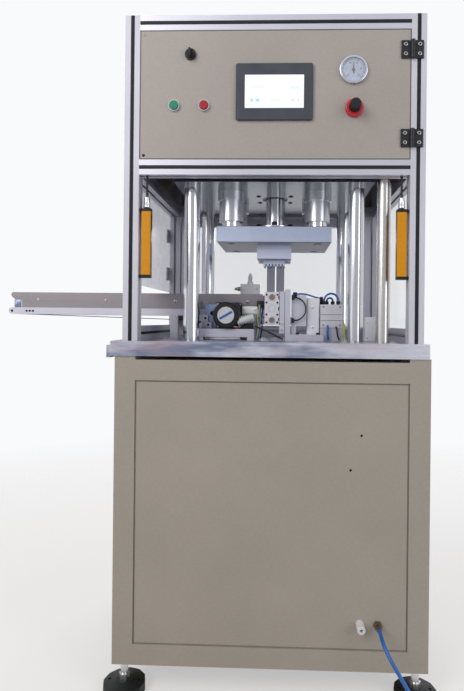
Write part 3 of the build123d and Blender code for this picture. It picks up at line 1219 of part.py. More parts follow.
def air_hose():
    radii = tube_radii(HOSE_ROUTE)
    print("hose radii", [round(r) for r in radii])
    with BuildPart() as hose:
        with BuildLine() as path:
            FilletPolyline(*HOSE_ROUTE, radius=radii)
        start = Vector(*HOSE_ROUTE[1]) - Vector(*HOSE_ROUTE[0])
        with BuildSketch(Plane(origin=HOSE_ROUTE[0], z_dir=start)):
            Circle(HOSE_D / 2)
        sweep(path=path.wire())
    length = path.wire().length
    print("hose length", round(length), "volume ratio",
          round(hose.part.volume / (math.pi * HOSE_D**2 / 4 * length), 3))
    save("air_hose", hose.part)

    width, height = COIL_COLUMNS * HOSE_D, COIL_LAYERS * HOSE_D
    with BuildPart() as coil:
        with BuildSketch(Plane(origin=(*COIL_CENTRE, 0), x_dir=(1, 0, 0), z_dir=(0, -1, 0))):
            with Locations((COIL_RADIUS, FLOOR_LIFT + height / 2)):
                RectangleRounded(width, height, HOSE_D / 2 - FLOOR_LIFT)
        revolve(axis=Axis(origin=(*COIL_CENTRE, 0), direction=(0, 0, 1)))
    save("air_hose_coil", coil.part)

    tail_x = COIL_CENTRE[0] - COIL_OUTER + HOSE_D / 2
    start = Plane(origin=(tail_x, COIL_CENTRE[1] + COUPLING_START, COUPLING_Z), z_dir=(0, 1, 0))
    with BuildPart() as coupling:
        with BuildSketch(start):
            Circle(SLEEVE_D / 2)
        extrude(amount=SLEEVE_L)
        with BuildSketch(start.offset(SLEEVE_L)):
            RegularPolygon(COUPLING_HEX / 2, 6, major_radius=False)
        extrude(amount=COUPLING_HEX_L)
        with BuildSketch(start.offset(SLEEVE_L + COUPLING_HEX_L)):
            Circle(NIPPLE_NECK_D / 2)
        extrude(amount=NIPPLE_NECK_L)
        with BuildSketch(start.offset(SLEEVE_L + COUPLING_HEX_L + NIPPLE_NECK_L)):
            Circle(NIPPLE_D / 2)
        extrude(amount=NIPPLE_L - NIPPLE_NECK_L)
        chamfer(coupling.faces().sort_by(Axis.Y)[-1].edges(), 1)
    save("air_hose_coupling", coupling.part)


def main():
    foot_pads()
    foot_stems()
    cabinet_posts()
    cabinet_rails()
    cabinet_panels()
    table_plate()
    guard_frame()
    moving, left, rear_left, rear_right = hinges()
    control_door()
    touch_panel()
    switch_bezels()
    push_buttons()
    selector_knob()
    gauge()
    regulator()
    side_guards(moving, left)
    rear_doors(moving, rear_left, rear_right)
    press_frame()
    press_cylinder()
    ram()
    conveyor_frame()
    conveyor_rollers()
    conveyor_motor()
    table_brackets()
    air_cylinders()
    middle, y_mid, dome_top = light_curtains()
    cables_and_tubes(middle, y_mid, dome_top)
    riser_and_box()
    supply_fittings()
    air_hose()


main()
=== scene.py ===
import math

import bmesh
import bpy
from mathutils import Matrix, Vector


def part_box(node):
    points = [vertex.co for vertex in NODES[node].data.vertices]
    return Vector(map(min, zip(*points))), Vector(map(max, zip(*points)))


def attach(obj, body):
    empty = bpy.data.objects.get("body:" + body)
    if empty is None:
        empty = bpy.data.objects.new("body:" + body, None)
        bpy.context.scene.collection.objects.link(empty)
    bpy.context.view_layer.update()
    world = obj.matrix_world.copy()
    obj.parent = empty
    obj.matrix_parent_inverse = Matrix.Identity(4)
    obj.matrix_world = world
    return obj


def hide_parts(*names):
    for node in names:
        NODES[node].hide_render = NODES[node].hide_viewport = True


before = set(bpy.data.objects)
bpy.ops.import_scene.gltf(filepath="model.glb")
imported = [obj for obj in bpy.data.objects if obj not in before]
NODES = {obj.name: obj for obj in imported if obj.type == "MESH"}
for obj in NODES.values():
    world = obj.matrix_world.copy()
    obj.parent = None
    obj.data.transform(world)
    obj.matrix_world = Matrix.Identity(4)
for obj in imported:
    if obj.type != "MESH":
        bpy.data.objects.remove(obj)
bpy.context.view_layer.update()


def middle(node):
    """Centre of a node's box."""
    low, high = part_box(node)
    return tuple((low[i] + high[i]) / 2 for i in range(3))


# Places and sizes that come from the frame, in metres
TABLE_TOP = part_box("table_plate")[1].z
GUARD_LO, GUARD_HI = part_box("guard_posts")
FRONT = GUARD_LO.y
PRESS_Y = middle("top_plate")[1]
PROFILE = 0.040
FRONTWARD, REARWARD, LEFTWARD = (0, -1, 0), (0, 1, 0), (-1, 0, 0)
UP, DOWN = (0, 0, 1), (0, 0, -1)


def above(x, y, height):
    """Place given by its height above the table plate."""
    return (x, y, TABLE_TOP + height)


# Material makers
def shader_of(mat):
    return mat.node_tree.nodes["Principled BSDF"]


def new_material(name, colour, rough, metal=0.0):
    """Principled material with the values that are the same all over."""
    mat = bpy.data.materials.new(name)
    mat.use_nodes = True
    shader = shader_of(mat)
    shader.inputs["Base Color"].default_value = (*colour, 1)
    shader.inputs["Roughness"].default_value = rough
    shader.inputs["Metallic"].default_value = metal
    return mat


def add_node(owner, kind, **values):
    """Node in the tree of a material or the world, with its values set."""
    node = owner.node_tree.nodes.new(kind)
    for key, value in values.items():
        if key in node.inputs:
            node.inputs[key].default_value = value
        else:
            setattr(node, key, value)
    return node


def link(owner, source, target):
    owner.node_tree.links.new(source, target)


def drive(mat, socket, source):
    """Joins a value or colour to one socket of the shader."""
    link(mat, source, shader_of(mat).inputs[socket])


def place_coordinates(mat, stretch=(1, 1, 1)):
    """Object coordinates, in metres, scaled along each axis."""
    where = add_node(mat, "ShaderNodeTexCoord")
    mapping = add_node(mat, "ShaderNodeMapping")
    mapping.inputs["Scale"].default_value = stretch
    link(mat, where.outputs["Object"], mapping.inputs["Vector"])
    return mapping.outputs["Vector"]


def axis_of(mat, vector, axis):
    """One axis of a vector, as a value."""
    split = add_node(mat, "ShaderNodeSeparateXYZ")
    link(mat, vector, split.inputs[0])
    return split.outputs[axis]


def facing_up(mat):
    """1 on faces that point up, -1 on faces that point down."""
    return axis_of(mat, add_node(mat, "ShaderNodeNewGeometry").outputs["True Normal"], "Z")


def noise(mat, vector, scale, detail=3.0, rough=0.55):
    node = add_node(mat, "ShaderNodeTexNoise", Scale=scale, Detail=detail, Roughness=rough)
    link(mat, vector, node.inputs["Vector"])
    return node.outputs["Fac"]


def remap(mat, value, low, high, from_low=0.3, from_high=0.7):
    limits = {"From Min": from_low, "From Max": from_high, "To Min": low, "To Max": high}
    node = add_node(mat, "ShaderNodeMapRange", **limits)
    link(mat, value, node.inputs["Value"])
    return node.outputs["Result"]


def blend_colours(mat, factor, first, second):
    """Mix of two colours; each of the three is a plain value or another node's output."""
    node = add_node(mat, "ShaderNodeMix", data_type="RGBA")
    for i, value in ((0, factor), (6, first), (7, second)):
        if isinstance(value, bpy.types.NodeSocket):
            link(mat, value, node.inputs[i])
        else:
            node.inputs[i].default_value = (*value, 1) if i else value
    return node.outputs[2]


def grain(mat, marks, smooth, rough, strength, distance=0.0002):
    """Marks that vary the roughness between two values and dent the surface."""
    drive(mat, "Roughness", remap(mat, marks, smooth, rough))
    node = add_node(mat, "ShaderNodeBump", Strength=strength, Distance=distance)
    link(mat, marks, node.inputs["Height"])
    drive(mat, "Normal", node.outputs["Normal"])


def shade(colour, factor):
    return tuple(min(1.0, c * factor) for c in colour)


def powder_coat(name, colour, rough=0.42, depth=0.10):
    """Sprayed powder coat: a fine orange peel, a mottle and a faint drift of colour."""
    mat = new_material(name, colour, rough)
    at = place_coordinates(mat)
    cloud = remap(mat, noise(mat, at, 3.0), 0, 1)
    drift = blend_colours(mat, cloud, shade(colour, 0.94), shade(colour, 1.05))
    mottle = noise(mat, place_coordinates(mat, (90, 240, 240)), 1.0, 3.0, 0.7)
    tint = blend_colours(mat, remap(mat, mottle, 0, 0.16, 0.35, 0.65), drift, shade(colour, 0.55))
    drive(mat, "Base Color", tint)
    grain(mat, noise(mat, at, 700.0, 2.0), rough - 0.06, rough + 0.08, depth, 0.0004)
    return mat


def worked_metal(name, colour, rough, streak, depth=0.03, spread=0.10, metal=1.0, drift_tint=None,
                 cloud_scale=5.0):
    """Metal with the marks of grinding, drawing or brushing, stretched along one axis."""
    mat = new_material(name, colour, rough, metal)
    lines = noise(mat, place_coordinates(mat, streak), 1.0, 4.0, 0.7)
    cloud = noise(mat, place_coordinates(mat), cloud_scale, 2.0)
    far = drift_tint or shade(colour, 1.10)
    tint = blend_colours(mat, remap(mat, cloud, 0, 1), shade(colour, 0.92), far)
    tone = blend_colours(mat, remap(mat, lines, 0, 1, 0.25, 0.75), tint, shade(colour, 1.04))
    drive(mat, "Base Color", tone)
    grain(mat, lines, rough - spread / 2, rough + spread, depth)
    return mat


def moulded(name, colour, rough, depth=0.08, scale=1400.0):
    """Moulded plastic or rubber with a fine grain."""
    mat = new_material(name, colour, rough)
    at = place_coordinates(mat)
    marks = noise(mat, at, scale, 2.0)
    cloud = remap(mat, noise(mat, at, 25.0), 0, 1)
    drive(mat, "Base Color", blend_colours(mat, cloud, shade(colour, 0.90), shade(colour, 1.10)))
    grain(mat, marks, rough - 0.05, rough + 0.08, depth)
    return mat


def clear_sheet(name, colour, alpha, rough):
    """Thin clear or frosted polycarbonate, seen through by alpha."""
    mat = moulded(name, colour, rough, 0.02, 300.0)
    shader_of(mat).inputs["Alpha"].default_value = alpha
    return mat


def face_light(name, colour, strength):
    mat = new_material(name, shade(colour, 0.2), 0.25)
    shader_of(mat).inputs["Emission Color"].default_value = (*colour, 1)
    shader_of(mat).inputs["Emission Strength"].default_value = strength
    return mat


def ground_plate():
    """Ground steel plate with broad bluish and warm clouds that are painted reflections, and a painted
    white reflection that makes it lighter toward its right end.

    Its top carries a painted dark reflection, so it is darker and duller than its edges.
    """
    painted_blue_reflection, pale_steel, painted_warm_reflection = (0.27, 0.31, 0.44), (0.76, 0.77, 0.86), (0.58, 0.42, 0.44)
    painted_white_reflection, painted_dark_reflection = (0.82, 0.82, 0.88), (0.20, 0.21, 0.27)
    mat = new_material("ground_steel", pale_steel, 0.26, 1.0)
    lines = noise(mat, place_coordinates(mat, ALONG_X), 1.0, 4.0, 0.7)
    reflection_clouds = noise(mat, place_coordinates(mat, (7, 7, 30)), 1.0, 2.5, 0.6)
    warm = noise(mat, place_coordinates(mat, (4.5, 4.5, 12)), 1.0, 1.5)
    # Painted reflections: bluish and warm clouds, a white one toward the right end, a dark one on the top
    # faces
    tone = blend_colours(mat, remap(mat, reflection_clouds, 0, 1, 0.40, 0.62), painted_blue_reflection, pale_steel)
    tone = blend_colours(mat, remap(mat, warm, 0, 0.70, 0.48, 0.62), tone, painted_warm_reflection)
    reflection_to_right = remap(mat, axis_of(mat, place_coordinates(mat), "X"), 0, 0.95, 0.05, 0.36)
    tone = blend_colours(mat, reflection_to_right, tone, painted_white_reflection)
    up = facing_up(mat)
    drive(mat, "Base Color", blend_colours(mat, remap(mat, up, 0, 0.85, 0.6, 0.9), tone, painted_dark_reflection))
    drive(mat, "Metallic", remap(mat, up, 1.0, 0.25, 0.6, 0.9))
    shader_of(mat).inputs["Specular IOR Level"].default_value = 0.12
    grain(mat, lines, 0.20, 0.36, 0.10)
    return mat


def paint_underside_shade(mat):
    """Faces that point down are painted darker: painted shade under the part."""
    tone = shader_of(mat).inputs["Base Color"].links[0].from_socket
    down = remap(mat, facing_up(mat), 1, 0, -0.9, -0.6)
    dark = blend_colours(mat, 0.92, tone, (0.10, 0.10, 0.12))
    drive(mat, "Base Color", blend_colours(mat, down, tone, dark))


def switch_bezel_material():
    """Chrome rings, with the selector's own ring black: it is the one above the buttons."""
    ring, black = (0.74, 0.75, 0.77), (0.02, 0.02, 0.022)
    mat = new_material("switch_bezels", ring, 0.14, 1.0)
    above_buttons = add_node(mat, "ShaderNodeMath", operation="GREATER_THAN")
    link(mat, axis_of(mat, place_coordinates(mat), "Z"), above_buttons.inputs[0])
    above_buttons.inputs[1].default_value = middle("switch_bezels")[2]
    is_black = above_buttons.outputs[0]
    drive(mat, "Base Color", blend_colours(mat, is_black, ring, black))
    drive(mat, "Metallic", remap(mat, is_black, 1.0, 0.0, 0, 1))
    drive(mat, "Roughness", remap(mat, is_black, 0.14, 0.45, 0, 1))
    return mat


# Grain of each finish: how many marks a metre has along x, y and z
ALONG_X, ALONG_Z, ROUND_Z = (4, 900, 900), (900, 900, 4), (900, 900, 40)
FINE, PLATED, SATIN = (1500, 1500, 1500), (1800, 1800, 1800), (2200, 2200, 2200)

# Paints
beige = powder_coat("beige_paint", (0.405, 0.358, 0.303))
beige_door = powder_coat("beige_door", (0.415, 0.370, 0.334))
black_steel = powder_coat("black_steel", (0.022, 0.022, 0.025), 0.40, 0.15)
orange = powder_coat("orange_paint", (0.72, 0.29, 0.002), 0.42, 0.05)

# Metals
aluminium = worked_metal("profile_aluminium", (0.54, 0.53, 0.60), 0.42, ALONG_Z, 0.08, metal=0.75)
# Lighter, less metallic copy of the profile aluminium for the posts, so their faces in shade read light:
# painted light
lit_post_aluminium = worked_metal("lit_post_aluminium", (0.60, 0.59, 0.65), 0.45, ALONG_Z, 0.08, metal=0.12)
ground_steel = ground_plate()
machined = worked_metal("machined_steel", (0.48, 0.54, 0.69), 0.36, ALONG_X, 0.12,
                        cloud_scale=22.0, drift_tint=(0.54, 0.58, 0.70))
# Lighter copy of the machined steel for the crimp tool, which stands in shade: painted light
lit_tool_steel = worked_metal("lit_tool_steel", (0.60, 0.65, 0.80), 0.34, ALONG_X, 0.10)
plate_steel = worked_metal("plate_steel", (0.20, 0.215, 0.245), 0.18, ALONG_X)
chrome = worked_metal("chrome_steel", (0.66, 0.67, 0.70), 0.15, ALONG_Z, 0.02, spread=0.06)
stainless = worked_metal("stainless", (0.27, 0.25, 0.265), 0.34, ALONG_X, 0.10)
stem_steel = worked_metal("stem_steel", (0.66, 0.65, 0.66), 0.26, ALONG_Z, 0.04)
tube_polished = worked_metal("tube_polished", (0.62, 0.60, 0.57), 0.22, ALONG_Z)
bushing = worked_metal("bushing_steel", (0.56, 0.57, 0.61), 0.27, ROUND_Z, 0.04)
anodised = worked_metal("anodised_body", (0.52, 0.51, 0.59), 0.45, SATIN, 0.04, metal=0.6)
cylinder_alu = worked_metal("cylinder_body", (0.66, 0.64, 0.68), 0.40, SATIN, 0.04, metal=0.5)
slide_light = worked_metal("slide_light", (0.74, 0.73, 0.78), 0.42, SATIN, 0.04, metal=0.4)
zinc = worked_metal("zinc_steel", (0.66, 0.67, 0.70), 0.26, PLATED)
nickel = worked_metal("nickel_brass", (0.50, 0.44, 0.36), 0.28, FINE)
rod_brown = worked_metal("rod_end", (0.30, 0.22, 0.19), 0.35, FINE)
dimple = worked_metal("dimple_screw", (0.36, 0.34, 0.34), 0.40, FINE)
fitting_dark = worked_metal("fitting_dark", (0.20, 0.165, 0.13), 0.36, FINE)
screw_steel = worked_metal("screw_steel", (0.33, 0.33, 0.35), 0.36, FINE)
gauge_ring = worked_metal("gauge_ring", (0.52, 0.54, 0.60), 0.18, FINE, 0.02)
clamp_blue = worked_metal("clamp_blue", (0.23, 0.27, 0.42), 0.35, FINE, 0.08)
plate_blue = worked_metal("plate_blue", (0.30, 0.38, 0.60), 0.35, FINE, 0.08, metal=0.6)
# Painted shade on the undersides of the ram plate and the crimp tool
paint_underside_shade(machined)
paint_underside_shade(lit_tool_steel)

# Plastics, rubbers and inks
black_plastic = moulded("black_plastic", (0.013, 0.014, 0.014), 0.48)
grey_plastic = moulded("grey_plastic", (0.062, 0.070, 0.084), 0.50)
white_plastic = moulded("white_plastic", (0.74, 0.74, 0.73), 0.40)
# Whiter copy of the white plastic for the nozzle block and junction box, which stand in shade: painted
# light
lit_block_white = moulded("lit_block_white", (0.92, 0.93, 0.98), 0.40)
green_cap = moulded("green_plastic", (0.015, 0.27, 0.15), 0.22, 0.02)
red_cap = moulded("red_plastic", (0.42, 0.010, 0.025), 0.25, 0.02)
collar_red = moulded("collar_red", (0.56, 0.022, 0.045), 0.30, 0.02)
belt_rubber = moulded("belt_rubber", (0.030, 0.045, 0.040), 0.60, 0.15, 500.0)
cable_rubber = moulded("cable_rubber", (0.018, 0.018, 0.020), 0.45, 0.05)
slot_rubber = moulded("slot_cover", (0.010, 0.010, 0.017), 0.60)
seal_brown = moulded("panel_seal", (0.24, 0.21, 0.18), 0.60)
seal_grey = moulded("door_seal", (0.12, 0.115, 0.12), 0.60)
blue_tube = moulded("blue_tube", (0.012, 0.125, 0.42), 0.28, 0.02)
bar_blue = moulded("bar_blue", (0.035, 0.10, 0.30), 0.35, 0.02)
wire_red = moulded("wire_red", (0.50, 0.03, 0.03), 0.35, 0.02)
wire_yellow = moulded("wire_yellow", (0.45, 0.48, 0.06), 0.35, 0.02)
lens_red = moulded("lens_red", (0.05, 0.004, 0.006), 0.15, 0.01)
dial_white = moulded("dial_white", (0.50, 0.54, 0.66), 0.45, 0.01)
ink = moulded("ink", (0.02, 0.02, 0.03), 0.5, 0.01)

# Panes, glass and lit tiles
clear_pane = clear_sheet("clear_pane", (0.80, 0.83, 0.90), 0.16, 0.06)
frosted_pane = clear_sheet("frosted_pane", (0.80, 0.80, 0.92), 0.42, 0.22)
lens_glass = clear_sheet("lens_glass", (0.85, 0.90, 0.97), 0.10, 0.02)
screen_light = face_light("screen_light", (0.88, 0.93, 0.98), 0.98)
tile_teal = face_light("tile_teal", (0.42, 0.72, 0.84), 0.90)
tile_pink = face_light("tile_pink", (0.84, 0.70, 0.86), 0.95)
tile_yellow = face_light("tile_yellow", (0.84, 0.93, 0.76), 0.98)
tile_blue = face_light("tile_blue", (0.72, 0.86, 0.96), 0.95)

# Surfaces that shine less than plain paint or plastic
shader_of(orange).inputs["Specular IOR Level"].default_value = 0.3
for mat in (black_steel, black_plastic, slot_rubber, cable_rubber, grey_plastic):
    shader_of(mat).inputs["Specular IOR Level"].default_value = 0.28

NODE_MATERIALS = {
    beige: ("cabinet_posts", "cabinet_rails", "cabinet_front_panel", "fixed_panels"),
    beige_door: ("control_door",),
    lit_post_aluminium: ("guard_posts",),
    aluminium: ("guard_beams", "conveyor_beams", "rear_left_door", "rear_right_door"),
    ground_steel: ("table_plate",),
    machined: ("ram_plate",),
    lit_tool_steel: ("crimp_tool",),
    plate_steel: ("top_plate",),
    chrome: ("press_columns", "guide_rods", "piston_rod"),
    gauge_ring: ("gauge_case",),
    bushing: ("guide_bushings",),
    stainless: ("conveyor_guides",),
    tube_polished: ("cable_riser",),
    anodised: ("cylinder_barrel", "cylinder_heads", "table_brackets"),
    slide_light: ("pusher_slide",),
    cylinder_alu: ("air_cylinders",),
    zinc: ("idler_left", "idler_right", "drive_roller", "clamp_slide"),
    stem_steel: ("foot_stems",),
    nickel: ("air_hose_coupling",),
    fitting_dark: ("air_inlet",),
    black_steel: ("hinge_mounts", "control_door_hinges", "left_door_hardware", "conveyor_motor",
                  "gauge_needle"),
    black_plastic: ("foot_pads", "curtain_caps", "selector_knob", "regulator_knob"),
    grey_plastic: ("touch_panel",),
    white_plastic: ("cable_gland",),
    lit_block_white: ("nozzle_block", "junction_box"),
    orange: ("light_curtains",),
    green_cap: ("green_button",),
    red_cap: ("red_button",),
    collar_red: ("regulator_collar",),
    belt_rubber: ("conveyor_belt",),
    cable_rubber: ("machine_cables",),
    blue_tube: ("air_tubes",),
    clear_pane: ("right_guard_pane", "rear_left_pane", "rear_right_pane"),
    frosted_pane: ("left_door_pane",),
}


def dress(node, mat, edge=0.0006):
    """Material, and a small edge bevel that catches the light."""
    obj = NODES[node]
    obj.data.materials.clear()
    obj.data.materials.append(mat)
    bevel = obj.modifiers.new("edge", "BEVEL")
    bevel.width = edge
    bevel.segments = 2
    bevel.limit_method = "ANGLE"
    bevel.angle_limit = math.radians(50)
    bevel.harden_normals = True


for mat, names in NODE_MATERIALS.items():
    for name in names:
        dress(name, mat)
dress("switch_bezels", switch_bezel_material(), 0.0004)

# Mesh makers
SHARP_FROM = math.radians(35)      # edges that turn more than this stay sharp
SCREW_STEPS = 18


def make_object(name, mesh, mat, body):
    obj = bpy.data.objects.new(name, mesh)
    bpy.context.scene.collection.objects.link(obj)
    obj.data.materials.append(mat)
    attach(obj, body)
    return obj


def finish_mesh(name, bm, mat, body):
    bmesh.ops.recalc_face_normals(bm, faces=bm.faces)
    for face in bm.faces:
        face.smooth = True
    for edge in bm.edges:
        if len(edge.link_faces) == 2 and edge.calc_face_angle() > SHARP_FROM:
            edge.smooth = False
    mesh = bpy.data.meshes.new(name)
    bm.to_mesh(mesh)
    bm.free()
    return make_object(name, mesh, mat, body)


def axes_for(direction):
    """Two directions square to the given one, and the given one itself."""
    w = Vector(direction).normalized()
    u = w.orthogonal().normalized()
    if abs(w.z) < 0.9:
        u = Vector(UP).cross(w).normalized()
    return u, w.cross(u), w


def lathe_into(bm, profile, centre, direction, steps):
    """Adds a turned form: profile is (radius, height) along direction from centre."""
    u, v, w = axes_for(direction)
    turns = [2 * math.pi * i / steps for i in range(steps)]
    outward = [u * math.cos(a) + v * math.sin(a) for a in turns]
    rings = []
    for radius, height in profile:
        hub = Vector(centre) + w * height
        rings.append([bm.verts.new(hub + radius * out) for out in (outward if radius else outward[:1])])
    for low, high in zip(rings, rings[1:]):
        for i in range(steps):
            j = (i + 1) % steps
            corners = [ring[k % len(ring)] for ring, k in ((low, i), (low, j), (high, j), (high, i))]
            bm.faces.new(list(dict.fromkeys(corners)))


def lathe(name, profile, centre, mat, body="frame", direction=FRONTWARD, steps=28):
    bm = bmesh.new()
    lathe_into(bm, profile, centre, direction, steps)
    finish_mesh(name, bm, mat, body)


def slab_into(bm, low, high, edge):
    """Adds a box between two corners with chamfered edges."""
    low, high = Vector(low), Vector(high)
    made = bmesh.ops.create_cube(bm, size=1.0)
    size = high - low
    for vert in made["verts"]:
        vert.co = Vector([low[i] + (vert.co[i] + 0.5) * size[i] for i in range(3)])
    edge = min(edge, 0.3 * min(size))
    edges = {e for vert in made["verts"] for e in vert.link_edges}
    bmesh.ops.bevel(bm, geom=list(edges), offset=edge, segments=2, profile=0.5, affect="EDGES")


def slabs(name, boxes, mat, body="frame", edge=0.001):
    bm = bmesh.new()
    for low, high in boxes:
        slab_into(bm, low, high, edge)
    finish_mesh(name, bm, mat, body)


def slab(name, low, high, mat, body="frame", edge=0.001):
    slabs(name, [(low, high)], mat, body, edge)


def screws(name, places, outline, mat, body, direction):
    bm = bmesh.new()
    for place in places:
        lathe_into(bm, outline, place, direction, SCREW_STEPS)
    finish_mesh(name, bm, mat, body)


def socket_screws(name, places, head_d, head_h, mat, body="frame", direction=FRONTWARD):
    """Socket head screws at the given places, heads standing out along direction."""
    r, h = head_d / 2, head_h
    socket = 0.5 * r
    outline = [(0, 0.3 * h), (socket, 0.3 * h), (socket, h), (0.85 * r, h), (r, 0.85 * h), (r, 0)]
    screws(name, places, outline, mat, body, direction)


def pan_screws(name, places, head_d, head_h, mat, body="frame"):
    """Low domed screws that face the front, with a dished crown in place of the cross-cut."""
    r, h = head_d / 2, head_h
    outline = [(0, 0.45 * h), (0.28 * r, 0.5 * h), (0.34 * r, h), (0.72 * r, 0.8 * h),
               (r, 0.2 * h), (r, 0)]
    screws(name, places, outline, mat, body, FRONTWARD)


def wire(name, points, diameter, mat):
    """Round lead or tube that follows points, as a smooth curve."""
    curve = bpy.data.curves.new(name, "CURVE")
    curve.dimensions = "3D"
    curve.bevel_depth = diameter / 2
    curve.bevel_resolution = 3
    curve.resolution_u = 8
    curve.use_fill_caps = True
    spline = curve.splines.new("NURBS")
    spline.points.add(len(points) - 1)
    for point, place in zip(spline.points, points):
        point.co = (*place, 1)
    spline.order_u = 3
    spline.use_endpoint_u = True
    return make_object(name, curve, mat, "frame")


def lead(name, mat, diameter, points):
    """Wire whose points are given by their height above the table plate."""
    wire(name, [above(*point) for point in points], diameter, mat)


def circle_of(x, y, z, radius, count, first=0):
    """Places at equal angles round a circle that lies flat."""
    angles = [math.radians(first + 360 * i / count) for i in range(count)]
    return [(x + radius * math.cos(a), y + radius * math.sin(a), z) for a in angles]


# Camera: a hair of roll and a slight turn to the left; its axis is off the picture's centre
PHOTO_W, PHOTO_H = 464, 691
AXIS_PIXEL = (264.4, 321.3)
ROLL, TURN = -0.6, 1.9
FOCAL_PIXELS = 547
SENSOR = 36.0
CAMERA_X, CAMERA_AWAY, CAMERA_UP = 0.028, 1.450, 0.056


def make_camera():
    data = bpy.data.cameras.new("camera")
    data.sensor_width = SENSOR
    data.lens = SENSOR * FOCAL_PIXELS / PHOTO_H
    data.shift_x = -(AXIS_PIXEL[0] - PHOTO_W / 2) / PHOTO_H
    data.shift_y = -(PHOTO_H / 2 - AXIS_PIXEL[1]) / PHOTO_H
    camera = bpy.data.objects.new("camera", data)
    camera.location = above(CAMERA_X, FRONT - CAMERA_AWAY, CAMERA_UP)
    camera.rotation_euler = (math.radians(90), math.radians(ROLL), math.radians(TURN))
    bpy.context.scene.collection.objects.link(camera)
    bpy.context.scene.camera = camera


make_camera()

# Air hose: the same route as the solid's, then the turns of the coil and the tail
HOSE_D = 0.010
COIL_CENTRE = (0.381, -0.612)
COIL_RADII = (0.065, 0.055, 0.045)
LAYER_Z = (0.0052, 0.0152)
TURN_POINTS = 16


def coil_points():
    """Six turns, clockwise from above: three inward on the floor, three outward on top."""
    radii = list(COIL_RADII) + list(reversed(COIL_RADII))
    last = len(radii) - 1
    points = []
    for turn, radius in enumerate(radii):
        after = radii[min(turn + 1, last)]
        z, z_after = LAYER_Z[turn // 3], LAYER_Z[min(turn + 1, last) // 3]
        for i in range(TURN_POINTS if turn < last else TURN_POINTS // 2):
            share = i / TURN_POINTS
            ease = max(0.0, share - 0.5) * 2
            r = radius + (after - radius) * ease
            angle = -2 * math.pi * share
            points.append((COIL_CENTRE[0] + r * math.cos(angle), COIL_CENTRE[1] + r * math.sin(angle),
                           z + (z_after - z) * ease))
    return points


def hose_points():
    route = [
        (0.287, -0.342, 0.207), (0.287, -0.370, 0.207), (0.290, -0.397, 0.197),
        (0.303, -0.420, 0.175), (0.319, -0.437, 0.153), (0.334, -0.451, 0.132),
        (0.350, -0.463, 0.108), (0.369, -0.477, 0.078), (0.392, -0.496, 0.045),
        (0.416, -0.521, 0.017), (0.434, -0.553, LAYER_Z[0]), (0.443, -0.585, LAYER_Z[0]),
    ]
    x, y = COIL_CENTRE[0] - COIL_RADII[0], COIL_CENTRE[1]
    return route + coil_points() + [(x, y, LAYER_Z[1]), (x, y + 0.017, 0.0125), (x, y + 0.034, 0.0102)]


hose_route = hose_points()
hose = wire("air_hose_line", hose_route, HOSE_D, blue_tube)
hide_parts("air_hose", "air_hose_coil")


# Black cover strips in the outer slots of the guard frame
DOOR_GAP = 0.003
MID_BEAM_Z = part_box("control_door")[0].z - DOOR_GAP - PROFILE / 2
TOP_BEAM_Z = GUARD_HI.z - PROFILE / 2
COVER_HALF, COVER_PROUD, COVER_DEEP = 0.0049, 0.0006, 0.0010


def slot_covers():
    half = COVER_HALF
    inner_x, inner_y = GUARD_HI.x - PROFILE, GUARD_HI.y - PROFILE

    def strip(side, limit):
        """Span of a strip's thickness on one side, from its outer face inward."""
        return sorted((side * (limit + COVER_PROUD), side * (limit - COVER_DEEP)))

    boxes = []
    for side in (-1, 1):
        post_x, post_y = side * (GUARD_HI.x - PROFILE / 2), side * (GUARD_HI.y - PROFILE / 2)
        for face in (-1, 1):
            x, y = strip(face, GUARD_HI.x), strip(face, GUARD_HI.y)
            boxes.append(((post_x - half, y[0], TABLE_TOP), (post_x + half, y[1], GUARD_HI.z)))
            boxes.append(((x[0], post_y - half, TABLE_TOP), (x[1], post_y + half, GUARD_HI.z)))
        x, y = strip(side, GUARD_HI.x), strip(side, GUARD_HI.y)
        for z in (MID_BEAM_Z, TOP_BEAM_Z):
            boxes.append(((-inner_x, y[0], z - half), (inner_x, y[1], z + half)))
            boxes.append(((x[0], -inner_y, z - half), (x[1], inner_y, z + half)))
    slabs("slot_covers", boxes, slot_rubber, edge=0.0003)


slot_covers()

# Seals in the grooves round the cabinet's panels and in the gap round the control door
PANEL_GAP = 0.004
SEAL_DEEP, SEAL_THICK, SEAL_LAP = 0.0007, 0.0016, 0.0001


def ring_of(along, height, gap):
    """Four strips of a ring as (along, height) spans; along and height are its outer limits."""
    (a0, a1), (z0, z1) = along, height
    return [((a0, a0 + gap), (z0, z1)), ((a1 - gap, a1), (z0, z1)),
            ((a0 + gap, a1 - gap), (z0, z0 + gap)), ((a0 + gap, a1 - gap), (z1 - gap, z1))]


def panel_seals():
    low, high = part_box("cabinet_front_panel")
    post_low, post_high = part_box("cabinet_posts")
    tube, recess = low.x - post_low.x, low.y - post_low.y
    gap, height = PANEL_GAP - 2 * SEAL_LAP, (low.z + SEAL_LAP, high.z - SEAL_LAP)
    wide = (low.x + SEAL_LAP, high.x - SEAL_LAP)
    deep = (post_low.y + tube + SEAL_LAP, post_high.y - tube - SEAL_LAP)
    inset = recess + SEAL_DEEP
    boxes = []
    for x, z in ring_of(wide, height, gap):
        for y0 in (post_low.y + inset, post_high.y - inset - SEAL_THICK):
            boxes.append(((x[0], y0, z[0]), (x[1], y0 + SEAL_THICK, z[1])))
    for y, z in ring_of(deep, height, gap):
        for x0 in (post_low.x + inset, post_high.x - inset - SEAL_THICK):
            boxes.append(((x0, y[0], z[0]), (x0 + SEAL_THICK, y[1], z[1])))
    slabs("panel_seals", boxes, seal_brown, edge=0.0003)


